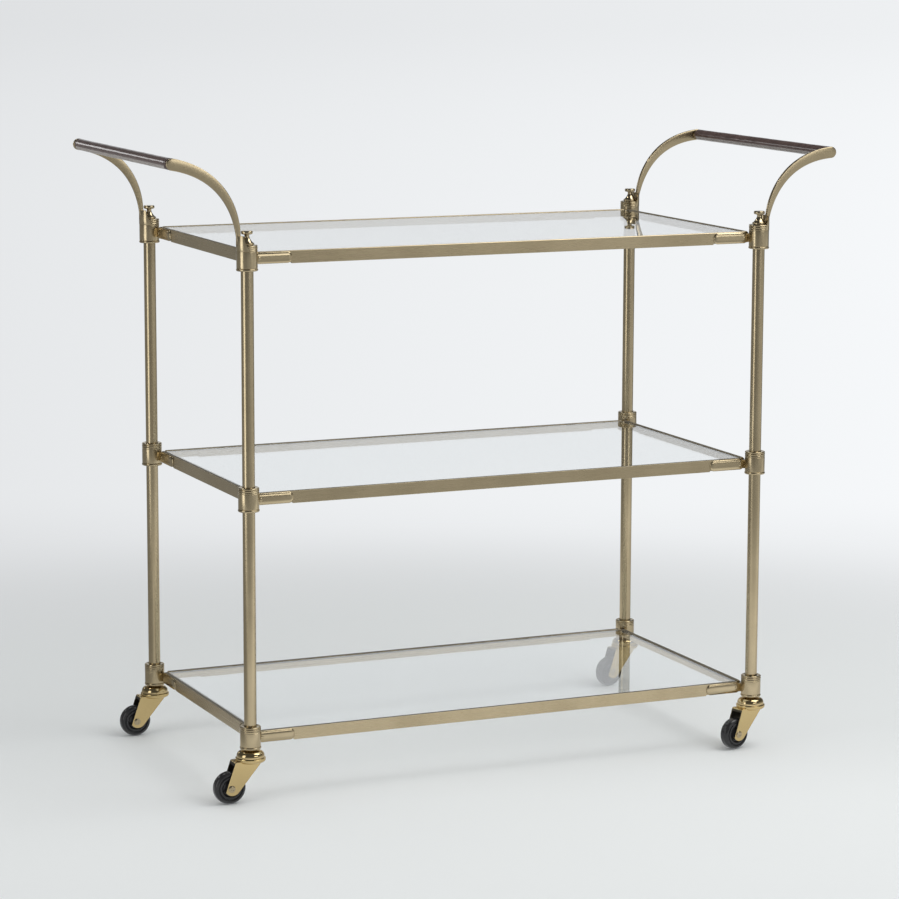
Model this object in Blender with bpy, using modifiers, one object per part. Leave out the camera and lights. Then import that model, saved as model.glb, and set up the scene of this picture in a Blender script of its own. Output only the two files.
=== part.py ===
"""Three-tier bar cart: brass posts and rails, glass shelves, leather-wrapped handles, swivel casters.

Metres, +Z up. The floor is at zero, X runs along the cart, Y from front to back.
The cart is modelled about the centre of its four posts, under one empty that shifts it so that
the origin lies under the centre of its outline, because the two handles are pitched unlike.
"""

import math

import bmesh
import bpy
from mathutils import Matrix, Vector

# Clearances and mesh steps
FIT = 0.0003
OVERRUN = 0.002
MERGE = 0.00001
HUB_STEPS = 16
CASTER_STEPS = 14
WHEEL_STEPS = 16
SMALL_STEPS = 12
SCOOP_STEPS = 40
PIN_STEPS = 8
TANG_CORNER_STEPS = 2
SHARP_DEG = 30

# Frame
POST_SPACING_X = 0.857
POST_SPACING_Y = 0.450
POST_D = 0.019
POST_WALL = 0.0018
LOWER_BAY = 0.3646
UPPER_BAY = 0.3615

# Rails, measured inward from the plane of the post axes
RAIL_H = 0.019
RAIL_T = 0.006
RAIL_SET_IN = 0.0105
RAIL_EASE = 0.0006
RAIL_END_GAP = 0.0025
RAIL_RELIEF = 0.0016
LEDGE_W = 0.006
LEDGE_T = 0.002

# Glass
GLASS_T = 0.006
GLASS_SUNK = 0.0009
GLASS_EDGE = 0.0008

# Hubs: how far each tier's hub drops below the rail and rises above it
HUB_WALL = 0.0062
HUB_DROPS = {"bottom": 0.0014, "middle": 0.0055, "top": 0.0073}
HUB_RISES = {"bottom": 0.0123, "middle": 0.0122, "top": 0.0122}
HUB_LIP = 0.0005
HUB_LIP_H = 0.0036
HUB_GROOVE = 0.0009
HUB_BEAD_H = 0.0042
HUB_CHAMFER = 0.0012
HUB_DISH = 0.0008

# Tangs, the plates that each hub lays along its two rails, and the necks behind them
TANG_LENGTH = 0.0607
TANG_T = 0.0027
TANG_BASE_H = 0.0175
TANG_CORNER_R = 0.0058
TANG_CHAMFER = 0.0014
TANG_TUCK = 0.0017
NECK_H = 0.0135
NECK_SINK = 0.0009
NECK_T = 0.0070

# Lugs, the scooped walls on the top hubs that hold the handle arms
LUG_H = 0.0140
LUG_WALL = 0.0048
LUG_PROUD = 0.0001
LUG_SCOOP_R = 0.030
LUG_TOP_DEG = 55
LUG_FOOT_DEG = 80
LUG_SKIRT = 0.0090

# Finials
FINIAL_RING_D = 0.0216
FINIAL_RING_H = 0.0030
FINIAL_CONE_D = 0.0190
FINIAL_CONE_H = 0.0105
FINIAL_NECK_D = 0.0072
FINIAL_DISC_D = 0.0178
FINIAL_DISC_H = 0.0056
FINIAL_NECK_H = 0.0016
FINIAL_SPIGOT = 0.020
FINIAL_CONE_STEPS = 2

# Handle arms: one bent bar, as a curve from its foot in the lug to its rounded tip
ARM_T = 0.005
ARM_FOOT_OUT = 0.0132
ARM_REACH = 0.1138
ARM_RISE = 0.1092
ARM_FOOT_W = 0.0042
ARM_TIP_W = 0.018
ARM_FOOT_LEAN_DEG = 4
ARM_TIP_SLOPE_DEG = 5
ARM_FOOT_PULL = 0.0347
ARM_TIP_PULL = 0.0895
ARM_SWELL_POWER = 0.76
ARM_STEPS = 12
ARM_TIP_STEPS = 7
HANDLE_PITCH_DEG = {"left": 6, "right": 0}

# Grips
GRIP_D = 0.018
GRIP_CORE_D = 0.012
GRIP_COLLAR_D = 0.0155
GRIP_COLLAR_W = 0.0030
GRIP_TENON_D = 0.006
GRIP_TENON = 0.0030
GRIP_EASE = 0.0012
CORE_STEPS = 8

# Casters, from the floor up
WHEEL_D = 0.050
WHEEL_W = 0.017
WHEEL_RECESS_D = 0.031
WHEEL_RECESS = 0.0022
WHEEL_BOSS_D = 0.012
WHEEL_CROWN = 0.0050
WHEEL_SHOULDER = 0.0038
TRAIL = 0.0345
CASTER_YAW_DEG = {"front_left": 0, "front_right": 14, "back_left": 0, "back_right": 12}

# Forks
FORK_T = 0.002
FORK_SIDE_GAP = 0.0015
FORK_CLEAR = 0.0125
FORK_WEB_T = 0.0025
FORK_FRONT_SET = 0.0060
FORK_NOSE_DROP = 0.0012
FORK_BACK = 0.0130
FORK_BACK_DROP = 0.0035
FORK_END_R = 0.013
FORK_END_BACK = 0.0015
FORK_END_UP = 0.0025
FORK_CORNER_DEG = 214
FORK_LIP_H = 0.0065
FORK_BRIDGE_UP = 0.0165
FORK_END_STEPS = 7
CROWN_D = 0.046
CROWN_H = 0.0040
CROWN_EASE = 0.0012
CROWN_BAND = 0.0030
CROWN_BOWL = 0.0045
CROWN_BOWL_IN = 0.0065
CROWN_STEPS = 2

# Stems and kingpins
DOME_D = 0.0426
DOME_H = 0.0105
DOME_TOP_D = 0.023
DOME_BEAD_H = 0.0014
DOME_STEPS = 3
STEM_NECK_D = 0.018
STEM_NECK_H = 0.0042
STEM_LENGTH = 0.038
KINGPIN_D = 0.008
RIVET_HEAD_D = 0.014
RIVET_HEAD_H = 0.0025

# Axles
AXLE_D = 0.005
AXLE_HEAD_D = 0.011
AXLE_HEAD_H = 0.0016

# Sizes that follow from those above
POST_R = POST_D / 2
POST_BORE_R = POST_R - POST_WALL
HUB_BORE_R = POST_R + FIT
HUB_R = HUB_BORE_R + HUB_WALL
RAIL_END_OUT = HUB_R + RAIL_END_GAP
RAIL_INNER = RAIL_SET_IN + RAIL_T
TANG_OUT = RAIL_SET_IN - FIT - TANG_T / 2
FORK_W = WHEEL_W + 2 * FORK_SIDE_GAP + 2 * FORK_T
WEB_UNDER_Z = WHEEL_D + FORK_CLEAR
WEB_TOP_Z = WEB_UNDER_Z + FORK_WEB_T
CROWN_TOP_Z = WEB_TOP_Z + CROWN_H
DOME_UNDER_Z = CROWN_TOP_Z + FIT
NECK_TOP_Z = DOME_UNDER_Z + DOME_H + STEM_NECK_H
POST_FOOT_Z = NECK_TOP_Z + FIT
RAIL_Z = {"bottom": POST_FOOT_Z + HUB_DROPS["bottom"]}
RAIL_Z["middle"] = RAIL_Z["bottom"] + LOWER_BAY
RAIL_Z["top"] = RAIL_Z["middle"] + UPPER_BAY
HUB_TOP_Z = RAIL_Z["top"] + RAIL_H + HUB_RISES["top"]

TIERS = ("bottom", "middle", "top")
SIDES = {"left": -1, "right": 1}
ROWS = {"front": -1, "back": 1}

# Colours: base colour, metallic, roughness and transmission of each finish
FINISHES = {
    "brass": ((0.33, 0.24, 0.12, 1.0), 1.0, 0.32, 0.0),
    "glass": ((0.93, 0.97, 0.95, 1.0), 0.0, 0.02, 1.0),
    "leather": ((0.055, 0.028, 0.018, 1.0), 0.0, 0.38, 0.0),
    "wheel": ((0.012, 0.012, 0.013, 1.0), 0.0, 0.22, 0.0),
}


def clear_scene():
    """Remove what a new file holds."""
    for obj in list(bpy.data.objects):
        bpy.data.objects.remove(obj, do_unlink=True)


def new_collection(name):
    """A collection under the scene's own."""
    collection = bpy.data.collections.new(name)
    bpy.context.scene.collection.children.link(collection)
    return collection


def finish(name):
    """A material of its own for one sub-part, in one of the four finishes."""
    colour, metallic, roughness, transmission = FINISHES[name]
    material = bpy.data.materials.new(name)
    material.use_nodes = True
    shader = material.node_tree.nodes["Principled BSDF"]
    shader.inputs["Base Color"].default_value = colour
    shader.inputs["Metallic"].default_value = metallic
    shader.inputs["Roughness"].default_value = roughness
    shader.inputs["Transmission Weight"].default_value = transmission
    return material


# Making solids

def pattern(name, data):
    """A hidden pattern or cutter that sub-parts are made from."""
    obj = bpy.data.objects.new(name, data)
    obj.hide_render = True
    obj.display_type = "WIRE"
    workshop.objects.link(obj)
    return obj


def baked(obj, name):
    """The pattern's finished mesh, welded, in the frame that the pattern stands in."""
    bpy.context.view_layer.update()
    depsgraph = bpy.context.evaluated_depsgraph_get()
    mesh = bpy.data.meshes.new_from_object(obj.evaluated_get(depsgraph))
    mesh.name = name
    mesh.transform(obj.matrix_world)
    shape = bmesh.new()
    shape.from_mesh(mesh)
    bmesh.ops.remove_doubles(shape, verts=shape.verts, dist=MERGE)
    shape.to_mesh(mesh)
    shape.free()
    return mesh


def turned(name, profile, steps):
    """A profile of (radius, height) points turned about Z, outer side from top to bottom.

    A profile that starts off the axis is a ring, so its last point joins its first.
    """
    edges = [(i, i + 1) for i in range(len(profile) - 1)]
    if profile[0][0] > 0:
        edges.append((len(profile) - 1, 0))
    mesh = bpy.data.meshes.new(name)
    mesh.from_pydata([(radius, 0, height) for radius, height in profile], edges, [])
    obj = pattern(name, mesh)
    screw = obj.modifiers.new("turn", "SCREW")
    screw.steps = steps
    screw.render_steps = steps
    screw.use_merge_vertices = True
    screw.merge_threshold = MERGE
    return obj


def plate(name, outline, thickness):
    """An outline of (x, z) points as a plate that stands in the XZ plane, thick along Y."""
    curve = bpy.data.curves.new(name, "CURVE")
    curve.dimensions = "2D"
    curve.fill_mode = "BOTH"
    curve.extrude = thickness / 2
    spline = curve.splines.new("POLY")
    spline.points.add(len(outline) - 1)
    for point, (x, z) in zip(spline.points, outline):
        point.co = (x, z, 0, 1)
    spline.use_cyclic_u = True
    flat = pattern(name + "_outline", curve)
    flat.rotation_euler = (math.pi / 2, 0, 0)
    mesh = baked(flat, name)
    bpy.data.objects.remove(flat, do_unlink=True)
    return pattern(name, mesh)


def block(name, size, centre, ease=0):
    """A box of the given size, with its edges eased."""
    shape = bmesh.new()
    bmesh.ops.create_cube(shape, size=1)
    bmesh.ops.scale(shape, vec=Vector(size), verts=shape.verts)
    mesh = bpy.data.meshes.new(name)
    shape.to_mesh(mesh)
    shape.free()
    obj = pattern(name, mesh)
    obj.location = centre
    if ease:
        bevel = obj.modifiers.new("ease", "BEVEL")
        bevel.width = ease
        bevel.segments = 1
    return obj


def rod(name, radius, length, axis, centre, steps=PIN_STEPS):
    """A round cutter along X, Y or Z."""
    shape = bmesh.new()
    bmesh.ops.create_cone(shape, cap_ends=True, segments=steps, radius1=radius, radius2=radius, depth=length)
    mesh = bpy.data.meshes.new(name)
    shape.to_mesh(mesh)
    shape.free()
    obj = pattern(name, mesh)
    obj.rotation_euler = Vector((0, 0, 1)).rotation_difference(Vector(axis)).to_euler()
    obj.location = centre
    return obj


def combine(base, operation, others):
    """Add exact Booleans to a pattern, one for each other pattern."""
    for other in others:
        modifier = base.modifiers.new(operation.lower(), "BOOLEAN")
        modifier.operation = operation
        modifier.object = other
    return base


def arc(centre, radius, start_deg, end_deg, steps):
    """Points on an arc, both ends included."""
    angles = [math.radians(start_deg + (end_deg - start_deg) * i / steps) for i in range(steps + 1)]
    return [(centre[0] + radius * math.cos(a), centre[1] + radius * math.sin(a)) for a in angles]


# Placing sub-parts

def empty(name, parent, location, turn_deg=0):
    """An axis or a frame that sub-parts hang from."""
    obj = bpy.data.objects.new(name, None)
    parts.objects.link(obj)
    obj.parent = parent
    obj.location = location
    obj.rotation_euler.z = math.radians(turn_deg)
    return obj


def sub_part(name, mesh, look, parent, location=(0, 0, 0), turn_deg=0):
    """One named piece of the cart, which shares its mesh with its like."""
    obj = bpy.data.objects.new(name, mesh)
    parts.objects.link(obj)
    obj.parent = parent
    obj.location = location
    obj.rotation_euler.z = math.radians(turn_deg)
    mesh.shade_smooth()
    mesh.set_sharp_from_angle(angle=math.radians(SHARP_DEG))
    if not mesh.materials:
        mesh.materials.append(None)
    slot = obj.material_slots[0]
    slot.link = "OBJECT"
    slot.material = finish(look)
    return obj


def corners():
    """Each corner's name, its side and row, and its post's place."""
    for row, y_sign in ROWS.items():
        for side, x_sign in SIDES.items():
            place = (x_sign * POST_SPACING_X / 2, y_sign * POST_SPACING_Y / 2, 0)
            yield row + "_" + side, side, row, place


# Posts

def post_mesh():
    """A drawn tube from the foot of the bottom hub to the top of the top hub."""
    profile = [(POST_R, HUB_TOP_Z), (POST_R, POST_FOOT_Z), (POST_BORE_R, POST_FOOT_Z), (POST_BORE_R, HUB_TOP_Z)]
    return baked(turned("post", profile, HUB_STEPS), "post")


# Hubs

def hub_profile(bottom, top):
    """A ring round the post: dished top, bead, groove, plain body and a lip below."""
    bead_under = top - HUB_BEAD_H
    return [
        (HUB_BORE_R, top - HUB_DISH),
        (HUB_R - HUB_CHAMFER, top),
        (HUB_R, top - HUB_CHAMFER),
        (HUB_R, bead_under),
        (HUB_R - HUB_GROOVE, bead_under - HUB_GROOVE),
        (HUB_R, bead_under - 2 * HUB_GROOVE),
        (HUB_R, bottom + HUB_LIP_H),
        (HUB_R + HUB_LIP, bottom + HUB_LIP_H - HUB_GROOVE),
        (HUB_R - HUB_CHAMFER / 2, bottom),
        (HUB_BORE_R, bottom),
    ]


def tang(name, along_y):
    """A raised plate with well rounded corners and a chamfered face, laid along a rail's outer face."""
    out = TANG_LENGTH / 2 - TANG_CORNER_R
    up = TANG_BASE_H / 2 - TANG_CORNER_R
    outline = []
    for x, z, start_deg in ((out, -up, -90), (out, up, 0), (-out, up, 90), (-out, -up, 180)):
        outline += arc((x, z), TANG_CORNER_R, start_deg, start_deg + 90, TANG_CORNER_STEPS)
    obj = plate(name, outline, TANG_T)
    shape = bmesh.new()
    shape.from_mesh(obj.data)
    rim = [e for e in shape.edges if all(v.co.y < 0 for v in e.verts) and e.calc_face_angle() > 1]
    bmesh.ops.bevel(shape, geom=rim, offset=TANG_CHAMFER, segments=1, affect="EDGES")
    shape.to_mesh(obj.data)
    shape.free()
    middle = HUB_R - TANG_TUCK + TANG_LENGTH / 2
    if along_y:
        obj.rotation_euler.z = -math.pi / 2
        obj.location = (TANG_OUT, middle, 0)
    else:
        obj.location = (middle, TANG_OUT, 0)
    return obj


def neck(name, along_y):
    """The short block that ties the hub to its tang and to the end of the rail."""
    length = RAIL_END_OUT - FIT - HUB_R / 2
    along = HUB_R / 2 + length / 2
    across = RAIL_SET_IN - FIT - TANG_T + NECK_SINK + NECK_T / 2
    size = (NECK_T, length, NECK_H) if along_y else (length, NECK_T, NECK_H)
    centre = (across, along, 0) if along_y else (along, across, 0)
    return block(name, size, centre)


def lug_wall():
    """A crescent wall on the hub's outer side, scooped towards the finial and slotted for the arm.

    It is made facing +X, in heights over the hub's top face.
    """
    outer = HUB_R + LUG_PROUD
    inner = HUB_R - LUG_WALL
    wall = turned("lug_wall", [(outer, LUG_H), (outer, -LUG_SKIRT), (inner, -LUG_SKIRT), (inner, LUG_H)], HUB_STEPS)
    high = Vector((HUB_R * math.cos(math.radians(LUG_TOP_DEG)), LUG_H))
    low = Vector((HUB_R * math.cos(math.radians(LUG_FOOT_DEG)), -HUB_BEAD_H))
    chord = high - low
    inward = Vector((-chord.y, chord.x)).normalized()
    hollow = (high + low) / 2 + inward * math.sqrt(LUG_SCOOP_R ** 2 - (chord.length / 2) ** 2)
    scoop = rod("lug_scoop", LUG_SCOOP_R, 2 * HUB_R + 2 * OVERRUN, (0, 1, 0), (hollow.x, 0, hollow.y), SCOOP_STEPS)
    rest_size = (2 * HUB_R + 2 * OVERRUN, 2 * HUB_R + 2 * OVERRUN, LUG_H + LUG_SKIRT + 2 * OVERRUN)
    rest_centre = (low.x - rest_size[0] / 2, 0, (LUG_H - LUG_SKIRT) / 2)
    rest = block("lug_rest", rest_size, rest_centre)
    slot_size = (HUB_R, ARM_T + 2 * FIT, LUG_H + OVERRUN)
    slot = block("lug_slot", slot_size, (HUB_R, 0, slot_size[2] / 2))
    return combine(wall, "DIFFERENCE", [scoop, rest, slot])


def hub_mesh(tier, hand):
    """A cast hub. Its tangs run along +Y and, for a left hand, +X, or for a right hand, -X."""
    name = "hub_" + tier + "_" + hand
    bottom = -HUB_DROPS[tier] - RAIL_H / 2
    top = RAIL_H / 2 + HUB_RISES[tier]
    body = turned(name, hub_profile(bottom, top), HUB_STEPS)
    arms = [make(name + kind + str(int(along_y)), along_y)
            for make, kind in ((neck, "_neck_"), (tang, "_tang_")) for along_y in (False, True)]
    combine(body, "UNION", arms)
    if tier == "top":
        wall = lug_wall()
        wall_mesh = baked(wall, name + "_lug")
        outward = Matrix.Rotation(math.pi if hand == "left" else -math.pi / 2, 4, "Z")
        wall_mesh.transform(Matrix.Translation((0, 0, top)) @ outward)
        combine(body, "UNION", [pattern(name + "_lug", wall_mesh)])
    bore = rod(name + "_bore", HUB_BORE_R, 2 * (top - bottom) + 4 * LUG_H, (0, 0, 1), (0, 0, 0), HUB_STEPS)
    combine(body, "DIFFERENCE", [bore])
    return baked(body, name)


# Rails and glass

def rail_mesh(name, spacing):
    """A rail along X whose outer face looks to -Y, with the ledge that the glass lies on."""
    length = spacing - 2 * RAIL_END_OUT
    leg = block(name, (length, RAIL_T, RAIL_H), (0, 0, 0), RAIL_EASE)
    ledge_length = spacing - 2 * (RAIL_INNER + LEDGE_W + FIT)
    ledge_width = LEDGE_W + RAIL_T / 2
    ledge_top = RAIL_H / 2 - GLASS_SUNK - GLASS_T - FIT
    ledge_centre = (0, RAIL_T / 2 + LEDGE_W - ledge_width / 2, ledge_top - LEDGE_T / 2)
    ledge = block(name + "_ledge", (ledge_length, ledge_width, LEDGE_T), ledge_centre)
    combine(leg, "UNION", [ledge])
    relief_length = HUB_R - TANG_TUCK + TANG_LENGTH - RAIL_END_OUT
    relief_size = (relief_length + OVERRUN, RAIL_T + 2 * OVERRUN, RAIL_RELIEF + OVERRUN)
    reliefs = []
    for end in (-1, 1):
        x = end * (length / 2 - relief_length / 2 + OVERRUN / 2)
        z = -RAIL_H / 2 + RAIL_RELIEF / 2 - OVERRUN / 2
        reliefs.append(block(name + "_relief", relief_size, (x, 0, z)))
    combine(leg, "DIFFERENCE", reliefs)
    return baked(leg, name)


def glass_mesh():
    """A shelf with eased edges, just inside the rails."""
    inset = 2 * (RAIL_INNER + FIT)
    size = (POST_SPACING_X - inset, POST_SPACING_Y - inset, GLASS_T)
    return baked(block("shelf_glass", size, (0, 0, 0), GLASS_EDGE), "shelf_glass")


# Finials

def finial_mesh():
    """A turned finial over the post's top: ring, hollow cone, neck and flat disc, with its spigot below."""
    ring_r = FINIAL_RING_D / 2
    cone_r = FINIAL_CONE_D / 2
    neck_r = FINIAL_NECK_D / 2
    disc_r = FINIAL_DISC_D / 2
    spigot_r = POST_BORE_R - FIT
    cone_z = FINIAL_RING_H + FINIAL_CONE_H
    disc_z = cone_z + FINIAL_NECK_H
    top_z = disc_z + FINIAL_DISC_H
    cone = []
    for i in range(FINIAL_CONE_STEPS + 1):
        share = i / FINIAL_CONE_STEPS
        cone.append((neck_r + (cone_r - neck_r) * share ** 2, cone_z - FINIAL_CONE_H * share))
    profile = [
        (0, top_z),
        (disc_r - FINIAL_DISC_H / 3, top_z),
        (disc_r, top_z - FINIAL_DISC_H / 3),
        (disc_r - FINIAL_DISC_H / 6, top_z - 2 * FINIAL_DISC_H / 3),
        (neck_r, disc_z),
        *cone,
        (ring_r, FINIAL_RING_H - FIT),
        (ring_r, 0),
        (spigot_r, 0),
        (spigot_r, -FINIAL_SPIGOT),
        (0, -FINIAL_SPIGOT),
    ]
    return baked(turned("finial", profile, SMALL_STEPS), "finial")


# Handles

def arm_curve(side):
    """The arm's centre line as (outward, up) points from its foot, with the half width at each."""
    pitch = math.radians(HANDLE_PITCH_DEG[side])
    foot = Vector((0, 0))
    tip = Vector((ARM_REACH, ARM_RISE))
    lean = math.radians(90 - ARM_FOOT_LEAN_DEG)
    slope = math.radians(ARM_TIP_SLOPE_DEG)
    foot_pull = foot + ARM_FOOT_PULL * Vector((math.cos(lean), math.sin(lean)))
    tip_pull = tip - ARM_TIP_PULL * Vector((math.cos(slope), math.sin(slope)))
    turn = Matrix.Rotation(pitch, 2)
    rows = []
    for i in range(ARM_STEPS + 1):
        t = i / ARM_STEPS
        s = 1 - t
        point = s ** 3 * foot + 3 * s * s * t * foot_pull + 3 * s * t * t * tip_pull + t ** 3 * tip
        heading = s * s * (foot_pull - foot) + 2 * s * t * (tip_pull - foot_pull) + t * t * (tip - tip_pull)
        width = ARM_FOOT_W + (ARM_TIP_W - ARM_FOOT_W) * t ** ARM_SWELL_POWER
        rows.append((turn @ point, (turn @ heading).normalized(), width / 2))
    return rows


def arm_foot(side):
    """Where the arm's curve starts from the post's axis, so that its foot just clears the hub's top face."""
    return Vector((ARM_FOOT_OUT, FIT + ARM_FOOT_W / 2 * math.sin(math.radians(HANDLE_PITCH_DEG[side]))))


def arm_outline(side):
    """The arm's outline from the post's axis, in heights over the top hub's top face."""
    start = arm_foot(side)
    inner = []
    outer = []
    for point, heading, half in arm_curve(side):
        across = Vector((-heading.y, heading.x)) * half
        inner.append(start + point + across)
        outer.append(start + point - across)
    tip, heading, half = arm_curve(side)[-1]
    facing = math.degrees(math.atan2(heading.y, heading.x))
    round_tip = arc(start + tip, half, facing + 90, facing - 90, ARM_TIP_STEPS)
    return [tuple(p) for p in inner[:-1]] + round_tip + [tuple(p) for p in reversed(outer[:-1])]


def grip_place(side):
    """The grip's axis from the post's axis, in heights over the top hub's top face."""
    return arm_foot(side) + arm_curve(side)[-1][0]


def arm_mesh(side, row):
    """A flat bent bar with a socket for the grip's tenon in its inner face."""
    name = "arm_" + row + "_" + side
    x_sign = SIDES[side]
    outline = [(x_sign * x, z) for x, z in arm_outline(side)]
    bar = plate(name, outline, ARM_T)
    grip = grip_place(side)
    depth = GRIP_TENON + FIT
    y = -ROWS[row] * (ARM_T / 2 - depth / 2 + OVERRUN / 2)
    socket_radius = GRIP_TENON_D / 2 + FIT
    socket = rod(name + "_socket", socket_radius, depth + OVERRUN, (0, 1, 0), (x_sign * grip.x, y, grip.y))
    return baked(combine(bar, "DIFFERENCE", [socket]), name)


def grip_core_mesh():
    """A turned bar along Y with a collar and a tenon at each end."""
    core_r = GRIP_CORE_D / 2
    collar_r = GRIP_COLLAR_D / 2
    tenon_r = GRIP_TENON_D / 2
    half = POST_SPACING_Y / 2 - ARM_T / 2 - FIT
    end = [
        (0, half + GRIP_TENON),
        (tenon_r, half + GRIP_TENON),
        (tenon_r, half),
        (collar_r, half),
        (collar_r, half - GRIP_COLLAR_W),
        (core_r, half - GRIP_COLLAR_W),
    ]
    profile = end + [(radius, -height) for radius, height in reversed(end)]
    core = turned("grip_core", profile, CORE_STEPS)
    core.rotation_euler.x = math.pi / 2
    return baked(core, "grip_core")


def grip_leather_mesh():
    """The leather sleeve over the bar, eased at its ends."""
    half = POST_SPACING_Y / 2 - ARM_T / 2 - GRIP_COLLAR_W - 2 * FIT
    bore = GRIP_CORE_D / 2 + FIT
    outer = GRIP_D / 2
    profile = [
        (bore, half),
        (outer - GRIP_EASE, half),
        (outer, half - GRIP_EASE),
        (outer, GRIP_EASE - half),
        (outer - GRIP_EASE, -half),
        (bore, -half),
    ]
    sleeve = turned("grip_leather", profile, SMALL_STEPS)
    sleeve.rotation_euler.x = math.pi / 2
    return baked(sleeve, "grip_leather")


# Casters, made with the wheel trailing towards -X and the swivel's axis at zero

def stem_mesh():
    """The fixed half of a caster: stem in the post, neck, domed cap, kingpin and its riveted head."""
    dome_r = DOME_D / 2
    dome_top_r = DOME_TOP_D / 2
    shoulder_z = DOME_UNDER_Z + DOME_BEAD_H
    dome_top_z = DOME_UNDER_Z + DOME_H
    curve = []
    for i in range(DOME_STEPS + 1):
        angle = math.pi / 2 * (1 - i / DOME_STEPS)
        out = dome_top_r + (dome_r - dome_top_r) * math.cos(angle)
        curve.append((out, shoulder_z + (dome_top_z - shoulder_z) * math.sin(angle)))
    stem_r = POST_BORE_R - FIT
    profile = [
        (0, NECK_TOP_Z + STEM_LENGTH),
        (stem_r, NECK_TOP_Z + STEM_LENGTH),
        (stem_r, NECK_TOP_Z),
        (STEM_NECK_D / 2, NECK_TOP_Z),
        (STEM_NECK_D / 2, dome_top_z),
        *curve,
        (dome_r, DOME_UNDER_Z),
        (KINGPIN_D / 2, DOME_UNDER_Z),
        (KINGPIN_D / 2, WEB_UNDER_Z - FIT),
        (RIVET_HEAD_D / 2, WEB_UNDER_Z - FIT),
        (KINGPIN_D / 2, WEB_UNDER_Z - FIT - RIVET_HEAD_H),
        (0, WEB_UNDER_Z - FIT - RIVET_HEAD_H),
    ]
    return baked(turned("caster_stem", profile, CASTER_STEPS), "caster_stem")


def between(start, end, height):
    """Where the straight line from start to end is at a height."""
    share = (height - start[1]) / (end[1] - start[1])
    return start[0] + (end[0] - start[0]) * share


def fork_mesh():
    """A pressed fork: crown, web, two cheeks that sweep down to the axle, front lip and rear bridge."""
    end_centre = (FORK_END_BACK - TRAIL, WHEEL_D / 2 + FORK_END_UP)
    crown_r = CROWN_D / 2
    front_top = (FORK_FRONT_SET - TRAIL, WEB_TOP_Z - FORK_NOSE_DROP)
    crown_front = (-crown_r, WEB_TOP_Z)
    back_top = (FORK_BACK, WEB_TOP_Z - FORK_BACK_DROP)
    rise = Vector(back_top) - Vector(end_centre)
    tangent_deg = math.degrees(math.atan2(rise.y, rise.x) - math.acos(FORK_END_R / rise.length))
    end = arc(end_centre, FORK_END_R, FORK_CORNER_DEG - 360, tangent_deg, FORK_END_STEPS)
    cheek = [front_top, *end, back_top, (FORK_BACK, WEB_TOP_Z), crown_front]
    body = plate("caster_fork", cheek, FORK_W)

    band_z = CROWN_TOP_Z - CROWN_BAND
    crown_profile = [(0, CROWN_TOP_Z), (crown_r - CROWN_EASE, CROWN_TOP_Z), (crown_r, CROWN_TOP_Z - CROWN_EASE)]
    for i in range(CROWN_STEPS + 1):
        angle = math.pi / 2 * i / CROWN_STEPS
        inward = CROWN_BOWL_IN * (1 - math.cos(angle))
        crown_profile.append((crown_r - inward, band_z - CROWN_BOWL * math.sin(angle)))
    crown_profile.append((0, band_z - CROWN_BOWL))
    crown = turned("fork_crown", crown_profile, CASTER_STEPS)
    combine(body, "UNION", [crown])

    lip_z = WEB_UNDER_Z - FORK_LIP_H
    bridge_z = WHEEL_D / 2 + FORK_BRIDGE_UP
    below = -OVERRUN
    behind = FORK_BACK + OVERRUN
    nose_under_z = WEB_UNDER_Z - FORK_NOSE_DROP
    cavity_outline = [
        (-crown_r, WEB_UNDER_Z),
        (between(front_top, end[0], nose_under_z) + FORK_T, nose_under_z),
        (between(front_top, end[0], lip_z) + FORK_T, lip_z),
        (end[0][0] - OVERRUN, lip_z),
        (end[0][0] - OVERRUN, below),
        (behind, below),
        (behind, bridge_z),
        (between(end[-1], back_top, bridge_z) - FORK_T, bridge_z),
        (between(end[-1], back_top, WEB_UNDER_Z) - FORK_T, WEB_UNDER_Z),
    ]
    cavity = plate("fork_cavity", cavity_outline, FORK_W - 2 * FORK_T)
    pin_height = CROWN_TOP_Z - WEB_UNDER_Z + 2 * OVERRUN
    pin_hole = rod("fork_pin_hole", KINGPIN_D / 2 + FIT, pin_height, (0, 0, 1),
                   (0, 0, (CROWN_TOP_Z + WEB_UNDER_Z) / 2), CASTER_STEPS)
    axle_hole = rod("fork_axle_hole", AXLE_D / 2 + FIT, FORK_W + 2 * OVERRUN, (0, 1, 0), (-TRAIL, 0, WHEEL_D / 2))
    return baked(combine(body, "DIFFERENCE", [cavity, pin_hole, axle_hole]), "caster_fork")


def mirrored(half):
    """A ring profile whole, from its upper half, in order from the bore's top round to its foot."""
    return half + [(radius, -height) for radius, height in reversed(half)]


def wheel_mesh():
    """A moulded wheel with a crowned tread, dished sides and a boss at the bore, its axle along Y."""
    half_w = WHEEL_W / 2
    recess_r = WHEEL_RECESS_D / 2
    boss_r = WHEEL_BOSS_D / 2
    half = [
        (AXLE_D / 2 + FIT, half_w + FORK_SIDE_GAP - FIT),
        (boss_r, half_w + FORK_SIDE_GAP - FIT),
        (boss_r, half_w - WHEEL_RECESS),
        (recess_r, half_w - WHEEL_RECESS),
        (recess_r, half_w),
        (WHEEL_D / 2 - WHEEL_SHOULDER, half_w),
        (WHEEL_D / 2, half_w - WHEEL_CROWN),
    ]
    wheel = turned("caster_wheel", mirrored(half), WHEEL_STEPS)
    wheel.rotation_euler.x = math.pi / 2
    return baked(wheel, "caster_wheel")


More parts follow.
